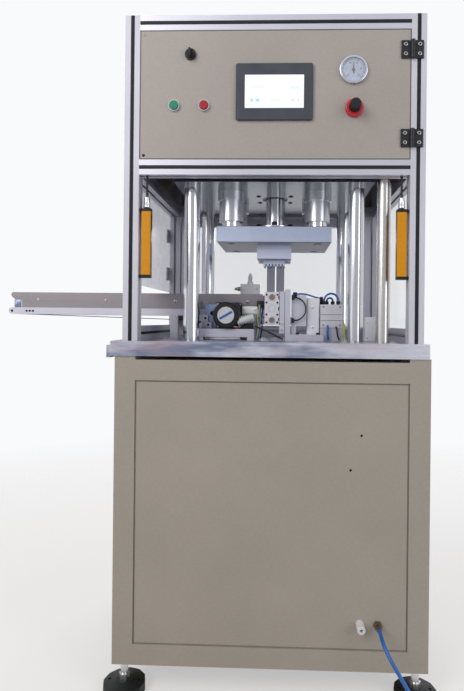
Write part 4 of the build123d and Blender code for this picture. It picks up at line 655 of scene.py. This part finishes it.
def control_door_seal():
    low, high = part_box("control_door")
    across = (low.x - DOOR_GAP + SEAL_LAP, high.x + DOOR_GAP - SEAL_LAP)
    height = (low.z - DOOR_GAP + SEAL_LAP, high.z + DOOR_GAP - SEAL_LAP)
    y0 = FRONT + SEAL_DEEP
    boxes = [((x[0], y0, z[0]), (x[1], y0 + SEAL_THICK, z[1]))
             for x, z in ring_of(across, height, DOOR_GAP - 2 * SEAL_LAP)]
    slabs("control_door_seal", boxes, seal_grey, edge=0.0003)


panel_seals()
control_door_seal()

# Low beam on the guard's left side, under the conveyor: the same slotted profile as the others
SLOT_HALF, SLOT_LIP = 0.004, 0.0045
ROOM_HALF, ROOM_DEEP = 0.0085, 0.0110
STRIP_TOP, STRIP_FOOT = 0.0005, 0.0035     # how deep a cover strip's two faces lie in a slot


def left_low_beam():
    half = PROFILE / 2
    lip, room = half - SLOT_LIP, half - ROOM_DEEP
    quarter = [(half, -half), (half, -SLOT_HALF), (lip, -SLOT_HALF), (lip, -ROOM_HALF),
               (room, -ROOM_HALF), (room, ROOM_HALF), (lip, ROOM_HALF), (lip, SLOT_HALF),
               (half, SLOT_HALF)]
    section = [(c * u - s * v, s * u + c * v)
               for c, s in ((1, 0), (0, 1), (-1, 0), (0, -1)) for u, v in quarter]
    x, z = GUARD_LO.x + half, TABLE_TOP + half
    y0, y1 = GUARD_LO.y + PROFILE, GUARD_HI.y - PROFILE
    bm = bmesh.new()
    near, far = ([bm.verts.new((x + across, y, z + up)) for across, up in section] for y in (y0, y1))
    for i in range(len(section)):
        j = (i + 1) % len(section)
        bm.faces.new((near[i], near[j], far[j], far[i]))
    bm.faces.new(near)
    bm.faces.new(list(reversed(far)))
    finish_mesh("left_low_beam", bm, aluminium, "frame")
    deep, thick = half - STRIP_FOOT, half - STRIP_TOP
    slabs("left_low_beam_covers", [
        ((x + deep, y0, z - SLOT_HALF), (x + thick, y1, z + SLOT_HALF)),
        ((x - thick, y0, z - SLOT_HALF), (x - deep, y1, z + SLOT_HALF)),
        ((x - SLOT_HALF, y0, z + deep), (x + SLOT_HALF, y1, z + thick))], slot_rubber, edge=0.0002)


left_low_beam()

# Hinge screws: two in each leaf, each with a black disc in its socket as painted shade
PIN_X, LEFT_PIN_Y, LEAF_MIDDLE = 0.362, 0.282, 0.0185
LEAF_FACE = 0.004
SCREW_RISE = 0.0125
CONTROL_HINGE_UP, LEFT_HINGE_SET, REAR_HINGE_SET = 0.1165, 0.070, 0.075


def leaf_screws(name, points, direction, body):
    places = [Vector(p) + Vector((0, 0, s * SCREW_RISE)) for p in points for s in (-1, 1)]
    socket_screws(name, places, 0.0100, 0.0030, screw_steel, body, direction)
    # Black discs set into the sockets: painted shade
    shade_discs = [p + Vector(direction) * 0.0004 for p in places]
    socket_screws(name + "_socket_shade", shade_discs, 0.0052, 0.0022, black_plastic, body, direction)


def hinge_leaves(name, body, fixed, moving, heights, direction):
    """Screws of both leaves; fixed and moving are the (x, y) places of the leaves' middles."""
    for ending, owner, (x, y) in (("_fixed", "frame", fixed), ("", body, moving)):
        leaf_screws(name + ending, [(x, y, z) for z in heights], direction, owner)


def hinge_screws():
    front, rear, left = FRONT - LEAF_FACE, -FRONT + LEAF_FACE, GUARD_LO.x - LEAF_FACE
    fixed, moving = PIN_X + LEAF_MIDDLE, PIN_X - LEAF_MIDDLE
    door_z = middle("control_door")[2]
    heights = (door_z - CONTROL_HINGE_UP, door_z + CONTROL_HINGE_UP)
    hinge_leaves("door_hinge_screws", "control_door", (fixed, front), (moving, front), heights, FRONTWARD)
    low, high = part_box("left_door_pane")
    heights = (low.z + LEFT_HINGE_SET, high.z - LEFT_HINGE_SET)
    hinge_leaves("left_hinge_screws", "left_door", (left, LEFT_PIN_Y + LEAF_MIDDLE),
                 (left, LEFT_PIN_Y - LEAF_MIDDLE), heights, LEFTWARD)
    low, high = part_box("rear_left_door")
    heights = (low.z + REAR_HINGE_SET, high.z - REAR_HINGE_SET)
    for side, body in ((-1, "rear_left_door"), (1, "rear_right_door")):
        hinge_leaves(body + "_hinge_screws", body, (side * fixed, rear), (side * moving, rear), heights,
                     REARWARD)


hinge_screws()

# Left door's hinges and bow handle: the handle is low enough not to show past the front post
HANDLE_HEIGHT_SHARE = 0.70


def left_door_hardware():
    bm = bmesh.new()
    bm.from_mesh(NODES["left_door_hardware"].data)
    handle = [vert for vert in bm.verts if vert.co.y < 0]
    face = max(vert.co.x for vert in handle)
    for vert in handle:
        vert.co.x = face + (vert.co.x - face) * HANDLE_HEIGHT_SHARE
    bmesh.ops.remove_doubles(bm, verts=bm.verts, dist=0.00001)
    sharp = [edge for edge in bm.edges
             if len(edge.link_faces) == 2 and edge.calc_face_angle() > math.radians(60)]
    bmesh.ops.bevel(bm, geom=sharp, offset=0.0006, segments=2, profile=0.5, affect="EDGES")
    piece = finish_mesh("left_door_hardware_low", bm, black_steel, "left_door")
    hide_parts("left_door_hardware")


left_door_hardware()

# Control door: corner screws, black rings of painted shade round the buttons, lit screen with its rim and
# tiles
# Black ring between each button cap and its bezel: painted shade in the gap
BUTTON_GAP_SHADE = [(0.0117, 0), (0.0117, 0.0006), (0.0124, 0.0006), (0.0127, 0)]
SCREEN_W, SCREEN_H, SCREEN_RIM = 0.0792, 0.0450, 0.0022      # half sizes of the lit area, and its rim
TILE_ROW = (-0.027, -0.019)
SCREEN_TILES = (
    ("screen_teal", tile_teal, [(-0.064, -0.056, *TILE_ROW), (-0.050, -0.040, *TILE_ROW)]),
    ("screen_pink", tile_pink, [(0.044, 0.054, *TILE_ROW), (0.060, 0.066, *TILE_ROW)]),
    ("screen_yellow", tile_yellow, [(-0.026, 0.026, 0.034, 0.041)]),
    ("screen_blue", tile_blue, [(-0.012, 0.014, -0.026, -0.020), (0.040, 0.066, 0.006, 0.014),
                                (-0.066, -0.030, 0.010, 0.014)]),
)


def door_details():
    low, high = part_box("control_door")
    x = low.x + 0.009
    pan_screws("door_corner_screw", [(x, FRONT, low.z + 0.008)], 0.0075, 0.002, black_plastic,
               "control_door")
    pan_screws("door_corner_screw_top", [(x, FRONT, high.z - 0.009)], 0.0075, 0.002, screw_steel,
               "control_door")
    bezel_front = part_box("switch_bezels")[0].y - 0.0001
    for button in ("green_button", "red_button"):
        cap_x, _, cap_z = middle(button)
        lathe(button + "_ring", BUTTON_GAP_SHADE, (cap_x, bezel_front, cap_z), black_plastic,
              "control_door", steps=40)


def touch_screen():
    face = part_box("touch_panel")[0].y + 0.0015
    z = middle("touch_panel")[2]
    w, h, rim = SCREEN_W, SCREEN_H, SCREEN_RIM

    def flat(name, mat, spans, front, back):
        slabs(name, [((x0, front, z + z0), (x1, back, z + z1)) for x0, x1, z0, z1 in spans], mat,
              "control_door", 0.0001)

    slab("screen_glass", (-w, face - 0.0006, z - h), (w, face, z + h), screen_light, "control_door", 0.0002)
    strips = [(-w - rim, -w, -h - rim, h + rim), (w, w + rim, -h - rim, h + rim),
              (-w, w, -h - rim, -h), (-w, w, h, h + rim)]
    flat("screen_rim", black_plastic, strips, face - 0.0004, face + 0.0002)
    front = face - 0.0009
    for name, mat, spans in SCREEN_TILES:
        flat(name, mat, spans, front, front + 0.0004)


door_details()
touch_screen()

# Pressure gauge: white dial with marks and the numbers 0 to 10, under a domed glass
DIAL_Y, DIAL_R = FRONT - 0.002, 0.0312
INK_Y = DIAL_Y - 0.0006
SWEEP_FROM, SWEEP = math.radians(225), math.radians(270)
MARK_STEPS, NUMBER_STEPS = 50, 5
MARK_OUTER = 0.0290
LONG_MARK, SHORT_MARK = (0.0250, 0.00055), (0.0272, 0.00025)     # inner radius and half width
NUMBER_R, NUMBER_SIZE = 0.0200, 0.0075


def dial_marks(x, z):
    bm = bmesh.new()
    centre = Vector((x, INK_Y, z))
    for i in range(MARK_STEPS + 1):
        a = SWEEP_FROM - SWEEP * i / MARK_STEPS
        inner, half = SHORT_MARK if i % (MARK_STEPS // NUMBER_STEPS) else LONG_MARK
        u = Vector((math.cos(a), 0, math.sin(a)))
        v = Vector((-math.sin(a), 0, math.cos(a))) * half
        corners = (u * inner - v, u * MARK_OUTER - v, u * MARK_OUTER + v, u * inner + v)
        bm.faces.new([bm.verts.new(centre + corner) for corner in corners])
    finish_mesh("dial_marks", bm, ink, "control_door")


def dial_number(x, z, i):
    a = SWEEP_FROM - SWEEP * i / NUMBER_STEPS
    text = bpy.data.curves.new("dial_number", "FONT")
    text.body = str(2 * i)
    text.size = NUMBER_SIZE
    text.align_x, text.align_y = "CENTER", "CENTER"
    obj = bpy.data.objects.new("dial_number_%d" % i, text)
    obj.location = (x + NUMBER_R * math.cos(a), INK_Y, z + NUMBER_R * math.sin(a))
    obj.rotation_euler = (math.radians(90), 0, 0)
    bpy.context.scene.collection.objects.link(obj)
    text.materials.append(ink)
    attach(obj, "control_door")


def gauge_face():
    x, _, z = middle("gauge_case")
    lathe("dial_plate", [(0, 0.0004), (DIAL_R, 0.0004), (DIAL_R, 0)], (x, DIAL_Y, z), dial_white,
          "control_door", steps=48)
    dial_marks(x, z)
    for i in range(NUMBER_STEPS + 1):
        dial_number(x, z, i)
    glass = [(0, 0.0016), (DIAL_R * 0.7, 0.0013), (DIAL_R, 0), (DIAL_R, -0.0008), (0, -0.0008)]
    lathe("gauge_glass", glass, (x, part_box("gauge_case")[0].y + 0.0012, z), lens_glass,
          "control_door", steps=48)


gauge_face()

# Light curtain: silver connectors on the domes, dark lens strips on the inner sides
CURTAIN_INNER_X = 0.328
CAP_H = 0.008


def curtain_details():
    low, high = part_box("light_curtains")
    y = (low.y + high.y) / 2
    connector = [(0.0072, 0.003), (0.0088, 0.004), (0.0088, 0.010), (0.0076, 0.0115), (0.0082, 0.013),
                 (0.0082, 0.024), (0.0072, 0.026), (0.0072, 0.030), (0.0032, 0.034)]
    for side in (-1, 1):
        x = side * ((high.x + CURTAIN_INNER_X) / 2)
        lathe("curtain_connector_%d" % side, connector, (x, y, high.z + CAP_H), zinc, direction=UP)
        inner = sorted((side * (CURTAIN_INNER_X + 0.0003), side * (CURTAIN_INNER_X + 0.0020)))
        slab("curtain_lens_%d" % side, (inner[0], y - 0.0078, low.z + 0.004),
             (inner[1], y + 0.0078, high.z - 0.004), lens_red, edge=0.0003)


curtain_details()

# Press: bolts on the flange, in the ram plate and on the bushings, and the rod's seal
GUIDES = [(sx * 0.130, PRESS_Y + sy * 0.090) for sx in (-1, 1) for sy in (-1, 1)]
HEAD_SCREWS = [(sx * 0.050, PRESS_Y + sy * 0.045) for sx in (-1, 1) for sy in (-1, 1)]
FLANGE_H, FLANGE_BOLTS_R = 0.014, 0.049
SEAL_UP, SEAL_SCREWS_R = 0.004, 0.0345
SEAL_RING = [(0.0285, SEAL_UP), (0.0285, 0), (0.0392, 0), (0.0392, SEAL_UP)]
COUNTERBORE_DEEP = 0.017
BUSHING_STEP, BUSHING_SCREWS_R = 0.027, 0.0385


def press_bolts():
    ram_low, ram_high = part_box("ram_plate")
    plate_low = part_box("top_plate")[0].z
    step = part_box("guide_bushings")[1].z - BUSHING_STEP
    flange = circle_of(0, PRESS_Y, ram_high.z + FLANGE_H, FLANGE_BOLTS_R, 4)
    socket_screws("flange_bolts", flange, 0.018, 0.0125, black_steel, "ram", UP)
    places = [(x, y, plate_low) for x, y in HEAD_SCREWS]
    socket_screws("cylinder_screws", places, 0.014, 0.002, black_steel, direction=DOWN)
    lathe("rod_seal", SEAL_RING, (0, PRESS_Y, plate_low + SEAL_UP), rod_brown, direction=UP, steps=40)
    seal = circle_of(0, PRESS_Y, plate_low + SEAL_UP, SEAL_SCREWS_R, 12)
    socket_screws("seal_screws", seal, 0.0065, 0.003, zinc, direction=DOWN)
    places = [(x, y, ram_low.z + COUNTERBORE_DEEP) for x, y in GUIDES]
    socket_screws("ram_plate_screws", places, 0.0245, 0.0155, black_steel, "ram", DOWN)
    rings = [place for x, y in GUIDES for place in circle_of(x, y, step, BUSHING_SCREWS_R, 4, 45)]
    socket_screws("bushing_screws", rings, 0.0060, 0.0050, black_steel, direction=DOWN)


# Conveyor: guide screws, nose and tension screws, the small clamp at the left end
GUIDE_SCREWS_X = (-0.741, -0.527, -0.307, -0.081)
TENSION_SCREWS_X = (-0.776, -0.766, -0.756)
NOSE_R = 0.0105


def conveyor_details():
    guide_low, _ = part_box("conveyor_guides")
    face, z = guide_low.y, middle("conveyor_guides")[2]
    pan_screws("guide_screws", [(x, face, z) for x in GUIDE_SCREWS_X], 0.0105, 0.0018, dimple)
    beam_low, beam_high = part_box("conveyor_beams")
    y, axle_z = beam_low.y, beam_high.z - NOSE_R
    pan_screws("nose_screw", [(beam_low.x + NOSE_R, y, axle_z)], 0.0075, 0.002, black_steel)
    socket_screws("tension_screws", [(x, y, axle_z) for x in TENSION_SCREWS_X], 0.0065, 0.0012, black_steel)
    x0, front = guide_low.x + 0.012, face - 0.0025
    slab("guide_clamp", (x0, front, guide_low.z + 0.002), (x0 + 0.021, face, guide_low.z + 0.024),
         clamp_blue)
    socket_screws("guide_clamp_screw", [(x0 + 0.006, front, guide_low.z + 0.013)], 0.007, 0.003, zinc)


press_bolts()
conveyor_details()

# Motor: slot bar and rim on the disc, flange screws, end ring
MOTOR_X = middle("drive_roller")[0]
MOTOR_UP = 0.0725
MOTOR_SCREWS = 0.0335
BAR_UP = 0.0325            # top of the bar that the motor's plates stand on
SLOT_ANGLE = -30
RIBS, RIB_PITCH = 7, 0.0062


def motor_details():
    disc = above(MOTOR_X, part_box("drive_roller")[0].y, MOTOR_UP)
    bm = bmesh.new()
    slab_into(bm, (-0.0225, -0.0009, -0.0034), (0.0225, 0, 0.0034), 0.0004)
    bm.transform(Matrix.Translation(disc) @ Matrix.Rotation(math.radians(SLOT_ANGLE), 4, "Y"))
    finish_mesh("disc_bar", bm, bar_blue, "drive_roller")
    lathe("disc_rim", [(0.0215, 0), (0.0215, 0.0010), (0.0240, 0.0010), (0.0240, 0)], disc, zinc,
          "drive_roller")
    case_low, case_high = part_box("conveyor_motor")
    places = [above(MOTOR_X + sx * MOTOR_SCREWS, case_high.y - 0.012, MOTOR_UP + sz * MOTOR_SCREWS)
              for sx in (-1, 1) for sz in (-1, 1)]
    socket_screws("motor_screws", places, 0.0085, 0.005, zinc)
    lathe("motor_end_ring", [(0.0270, 0), (0.0275, 0.0022), (0.0345, 0.0022), (0.0360, 0)],
          above(MOTOR_X, case_low.y, MOTOR_UP), black_plastic, steps=40)
    slab("motor_corner", above(MOTOR_X + 0.012, case_low.y + 0.006, MOTOR_UP + 0.012),
         above(MOTOR_X + 0.038, case_low.y + 0.040, MOTOR_UP + 0.038), black_plastic, edge=0.003)


def left_of_motor():
    """Blue sensor plate with its hole, and a stepped bracket."""
    slab("sensor_plate_blue", above(-0.206, -0.118, BAR_UP), above(-0.172, -0.114, 0.106), plate_blue)
    socket_screws("sensor_hole", [above(-0.185, -0.118, 0.079)], 0.013, 0.003, black_plastic)
    steps = [(above(-0.2255, -0.130, BAR_UP), above(-0.196, -0.112, 0.074)),
             (above(-0.2255, -0.139, BAR_UP), above(-0.214, -0.130, 0.060)),
             (above(-0.206, -0.136, BAR_UP), above(-0.184, -0.119, 0.052))]
    slabs("left_bracket", steps, anodised)
    places = [above(-0.2195, -0.139, 0.052), above(-0.204, -0.130, 0.064), above(-0.195, -0.136, 0.044)]
    socket_screws("left_bracket_screws", places, 0.007, 0.004, black_steel)


def right_of_motor():
    """White plate, terminal block, and a ribbed connector with three leads."""
    slab("white_plate", above(-0.092, -0.140, 0.078), above(-0.047, -0.136, 0.100), white_plastic)
    places = [above(x, -0.140, 0.089) for x in (-0.085, -0.054)]
    socket_screws("white_plate_screws", places, 0.006, 0.003, zinc)
    slab("terminal_block", above(-0.090, -0.160, BAR_UP), above(-0.059, -0.132, 0.050), black_plastic)
    outline = [(0.0050, 0)]
    for i in range(RIBS):
        at = RIB_PITCH * i
        outline += [(0.0122, 0.0016 + at), (0.0122, 0.0042 + at),
                    (0.0090, 0.0046 + at), (0.0090, 0.0074 + at)]
    outline += [(0.0118, 0.0455), (0.0090, 0.0500), (0, 0.0500)]
    lathe("ribbed_connector", outline, above(-0.105, -0.166, 0.054), white_plastic,
          direction=(0.96, 0, 0.27))
    leads = (("lead_red", wire_red, 0.0), ("lead_white", white_plastic, 0.004),
             ("lead_dark", cable_rubber, -0.004))
    for name, mat, lift in leads:
        lead(name, mat, 0.0026, [
            (-0.103, -0.166, 0.054 + lift), (-0.112, -0.170, 0.055 + lift), (-0.120, -0.176, 0.047 + lift),
            (-0.117, -0.172, 0.036 + lift), (-0.104, -0.160, 0.0335 + max(lift, 0))])


motor_details()
left_of_motor()
right_of_motor()

# Clamp cylinder: rod ends with their rings, port circle, screws and sensor slots
CLAMP_X = (-0.025, 0.018)
ROD_UPS = (0.060, 0.127)
ROD_RING = [(0.0086, 0), (0.0086, 0.0018), (0.0112, 0.0018), (0.0118, 0)]
ROD_END = [(0, 0.0006), (0.0032, 0.0006), (0.0038, 0.0030), (0.0078, 0.0030), (0.0084, 0.0020), (0.0084, 0)]
PORT_RING = [(0.0092, 0), (0.0092, 0.0008), (0.0108, 0.0008), (0.0108, 0)]
BRACKET_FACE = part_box("table_brackets")[0].y


def clamp_details():
    left, right = CLAMP_X
    x, face = (left + right) / 2, BRACKET_FACE
    for up in ROD_UPS:
        height = round((TABLE_TOP + up) * 1000)
        lathe("rod_ring_%d" % height, ROD_RING, above(x, face, up), zinc, steps=32)
        lathe("rod_end_%d" % height, ROD_END, above(x, face, up), rod_brown, steps=32)
    lathe("port_circle", PORT_RING, above(x, face, 0.0935), zinc, steps=32)
    places = [above(edge_x, face, up) for edge_x in (left + 0.0055, right - 0.0055)
              for up in (0.053, 0.076, 0.111, 0.134)]
    socket_screws("clamp_screws", places, 0.0062, 0.0010, black_steel)
    slots = [(above(right - 0.0032, face - 0.0007, low), above(right - 0.0002, face + 0.002, high))
             for low, high in ((0.058, 0.066), (0.088, 0.098), (0.121, 0.130))]
    slabs("clamp_slots", slots, black_plastic, edge=0.0003)
    slab("clamp_joint", above(right - 0.0005, face - 0.0004, 0.045),
         above(right + 0.0007, face + 0.004, 0.141), ink, edge=0.0002)


def bracket_details():
    """Joint between the bracket plates, their screws, and the pusher's grooves and screws."""
    face = BRACKET_FACE
    slab("bracket_joint", above(0.0334, face - 0.0004, 0), above(0.0346, face + 0.004, 0.143), ink,
         edge=0.0002)
    socket_screws("bracket_screws", [above(0.026, face, up) for up in (0.034, 0.052)], 0.0085, 0.003, zinc)
    places = [above(x, -0.155, 0.018) for x in (0.072, 0.132)]
    socket_screws("foot_screws", places, 0.010, 0.006, black_steel, direction=UP)
    grooves = [(above(0.1405, -0.1405, up), above(0.2055, -0.1390, up + 0.0014)) for up in (0.060, 0.077)]
    slabs("pusher_grooves", grooves, seal_grey, edge=0.0003)
    places = [above(x, -0.140, up) for x in (0.149, 0.198) for up in (0.047, 0.101)]
    socket_screws("pusher_screws", places, 0.006, 0.002, screw_steel)
    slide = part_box("pusher_slide")[0]
    places = [above(slide.x + 0.018, slide.y, up) for up in (0.040, 0.100)]
    socket_screws("slider_screws", places, 0.007, 0.002, zinc, "pusher_slide")


# Air fittings and tubes on the pusher, and the loose leads beside the clamp
PUSHER_TOP_UP = 0.108
FITTING = [(0.0030, 0.011), (0.0058, 0.010), (0.0062, 0.008), (0.0062, 0.0035), (0.0050, 0.003),
           (0.0050, 0)]
FITTING_PLACES = ((0.152, -0.126), (0.194, -0.126), (0.162, -0.100), (0.180, -0.100))


def pusher_fittings():
    top = PUSHER_TOP_UP
    for i, (x, y) in enumerate(FITTING_PLACES):
        lathe("tube_fitting_%d" % i, FITTING, above(x, y, top), black_plastic, direction=UP, steps=24)
    slab("elbow", above(0.058, -0.155, 0.129), above(0.070, -0.147, 0.143), black_plastic, edge=0.002)
    slab("elbow_right", above(0.140, -0.112, top), above(0.150, -0.100, top + 0.024), black_plastic,
         edge=0.002)
    lead("tube_across", blue_tube, 0.0050, [
        (0.069, -0.151, 0.137), (0.084, -0.150, 0.139), (0.104, -0.140, 0.136), (0.122, -0.118, 0.131),
        (0.141, -0.106, 0.127)])
    lead("tube_low_blue", blue_tube, 0.0065, [
        (0.162, -0.134, 0.046), (0.162, -0.150, 0.042), (0.160, -0.153, 0.020), (0.164, -0.148, 0.003)])
    lead("tube_low_black", cable_rubber, 0.0045, [
        (0.186, -0.134, 0.044), (0.188, -0.150, 0.040), (0.190, -0.152, 0.016), (0.196, -0.146, 0.003)])
    lead("lead_pusher", wire_yellow, 0.0060, [
        (0.203, -0.128, 0.060), (0.213, -0.138, 0.052), (0.209, -0.146, 0.026), (0.216, -0.142, 0.003)])


def loose_leads():
    leads = (("lead_yellow", wire_yellow, -0.044, 0.005), ("lead_blue", blue_tube, -0.038, -0.004),
             ("lead_black", cable_rubber, -0.033, 0.003))
    for name, mat, x, bend in leads:
        lead(name, mat, 0.0042, [
            (x, -0.120, 0.108), (x + bend, -0.140, 0.090), (x - bend, -0.150, 0.062),
            (x + bend, -0.155, 0.034), (x - 0.006, -0.150, 0.0028)])
    slab("lead_box", above(-0.050, -0.124, 0.098), above(-0.028, -0.106, 0.118), black_plastic, edge=0.002)
    lead("lead_curved", cable_rubber, 0.0046, [
        (-0.052, -0.152, 0.040), (-0.030, -0.168, 0.034), (0.000, -0.172, 0.018), (0.030, -0.172, 0.0035)])


# Nozzle block and junction box
NOZZLE_UP = 0.163
NOZZLE = [(0, 0.020), (0.0045, 0.020), (0.0050, 0.012), (0.0070, 0.010), (0.0070, 0.002), (0.0055, 0)]


def block_details():
    low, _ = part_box("nozzle_block")
    lathe("nozzle_fitting", NOZZLE, above(low.x, middle("nozzle_block")[1], NOZZLE_UP), nickel,
          direction=LEFTWARD, steps=20)
    places = [above(x, low.y, NOZZLE_UP) for x in (-0.104, -0.057)]
    socket_screws("nozzle_screws", places, 0.007, 0.003, zinc)
    low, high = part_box("junction_box")
    places = [(x, low.y, z) for x in (low.x + 0.006, high.x - 0.006)
              for z in (low.z + 0.008, high.z - 0.018)]
    pan_screws("box_screws", places, 0.005, 0.0015, zinc)


clamp_details()
bracket_details()
pusher_fittings()
loose_leads()
block_details()

# World, floor and lights: pale where seen, softer where they light the object
PALE = (0.95, 0.955, 0.97)
FLOOR_HALF = 9.0
FLOOR_FADE = (0.9, 3.2)          # distances between which the floor fades into the backdrop
FLOOR_LIFT = 0.46
CARD_X, CARD_Y, CARD_Z = (-3.4, 2.6), -3.4, (0.1, 2.9)


def seen_directly(owner):
    """1 for camera, glossy and transmission rays, 0 for those that light the object."""
    path = add_node(owner, "ShaderNodeLightPath")
    seen = path.outputs["Is Camera Ray"]
    for ray in ("Is Glossy Ray", "Is Transmission Ray"):
        either = add_node(owner, "ShaderNodeMath", operation="MAXIMUM")
        link(owner, seen, either.inputs[0])
        link(owner, path.outputs[ray], either.inputs[1])
        seen = either.outputs[0]
    return seen


def make_world():
    world = bpy.data.worlds.new("world")
    bpy.context.scene.world = world
    world.use_nodes = True
    soft = world.node_tree.nodes["Background"]
    soft.inputs["Color"].default_value = (0.86, 0.88, 0.94, 1)
    soft.inputs["Strength"].default_value = 0.42
    shown = add_node(world, "ShaderNodeBackground", Color=(*PALE, 1), Strength=1.0)
    mix = add_node(world, "ShaderNodeMixShader")
    for i, source in enumerate((seen_directly(world), soft.outputs[0], shown.outputs[0])):
        link(world, source, mix.inputs[i])
    link(world, mix.outputs[0], world.node_tree.nodes["World Output"].inputs["Surface"])


def stage_sheet(name, corners, mat):
    """Flat sheet that belongs to the stage, not to the object."""
    mesh = bpy.data.meshes.new(name)
    mesh.from_pydata(corners, [], [(0, 1, 2, 3)])
    sheet = bpy.data.objects.new(name, mesh)
    bpy.context.scene.collection.objects.link(sheet)
    mesh.materials.append(mat)
    return sheet


def make_floor():
    mat = new_material("floor_paint", (0.52, 0.49, 0.45), 0.8)
    far = add_node(mat, "ShaderNodeVectorMath", operation="LENGTH")
    link(mat, place_coordinates(mat), far.inputs[0])
    drive(mat, "Alpha", remap(mat, far.outputs["Value"], 1.0, 0.0, *FLOOR_FADE))
    lift = add_node(mat, "ShaderNodeMath", operation="MULTIPLY")
    link(mat, seen_directly(mat), lift.inputs[0])
    lift.inputs[1].default_value = FLOOR_LIFT
    shader_of(mat).inputs["Emission Color"].default_value = (*PALE, 1)
    drive(mat, "Emission Strength", lift.outputs[0])
    half = FLOOR_HALF
    stage_sheet("floor", [(-half, -half, 0), (half, -half, 0), (half, half, 0), (-half, half, 0)], mat)


def lamp(name, place, aim, size, power, colour):
    data = bpy.data.lights.new(name, "AREA")
    data.shape = "RECTANGLE"
    data.size, data.size_y = size
    data.energy = power
    data.color = colour
    obj = bpy.data.objects.new(name, data)
    obj.location = place
    obj.rotation_euler = (Vector(aim) - Vector(place)).to_track_quat("-Z", "Y").to_euler()
    bpy.context.scene.collection.objects.link(obj)


def shade_card():
    """Grey card behind the camera that only polished metal sees, as in a darker workshop."""
    (x0, x1), y, (z0, z1) = CARD_X, CARD_Y, CARD_Z
    card = stage_sheet("card", [(x0, y, z0), (x1, y, z0), (x1, y, z1), (x0, y, z1)],
                       face_light("card_grey", (0.42, 0.42, 0.45), 1.0))
    for ray in ("camera", "diffuse", "transmission", "shadow", "volume_scatter"):
        setattr(card, "visible_" + ray, False)


make_world()
make_floor()
lamp("key", (-1.9, -2.6, 2.7), (0, 0, 1.1), (1.6, 2.2), 54, (1.0, 0.98, 0.95))
lamp("fill", (2.3, -2.2, 1.7), (0, 0, 0.9), (1.4, 2.4), 24, (0.92, 0.95, 1.0))
lamp("back", (0.4, 2.6, 2.4), (0, 0, 1.2), (2.4, 1.6), 38, (0.93, 0.95, 1.0))
shade_card()

scene = bpy.context.scene
scene.view_settings.view_transform = "Standard"
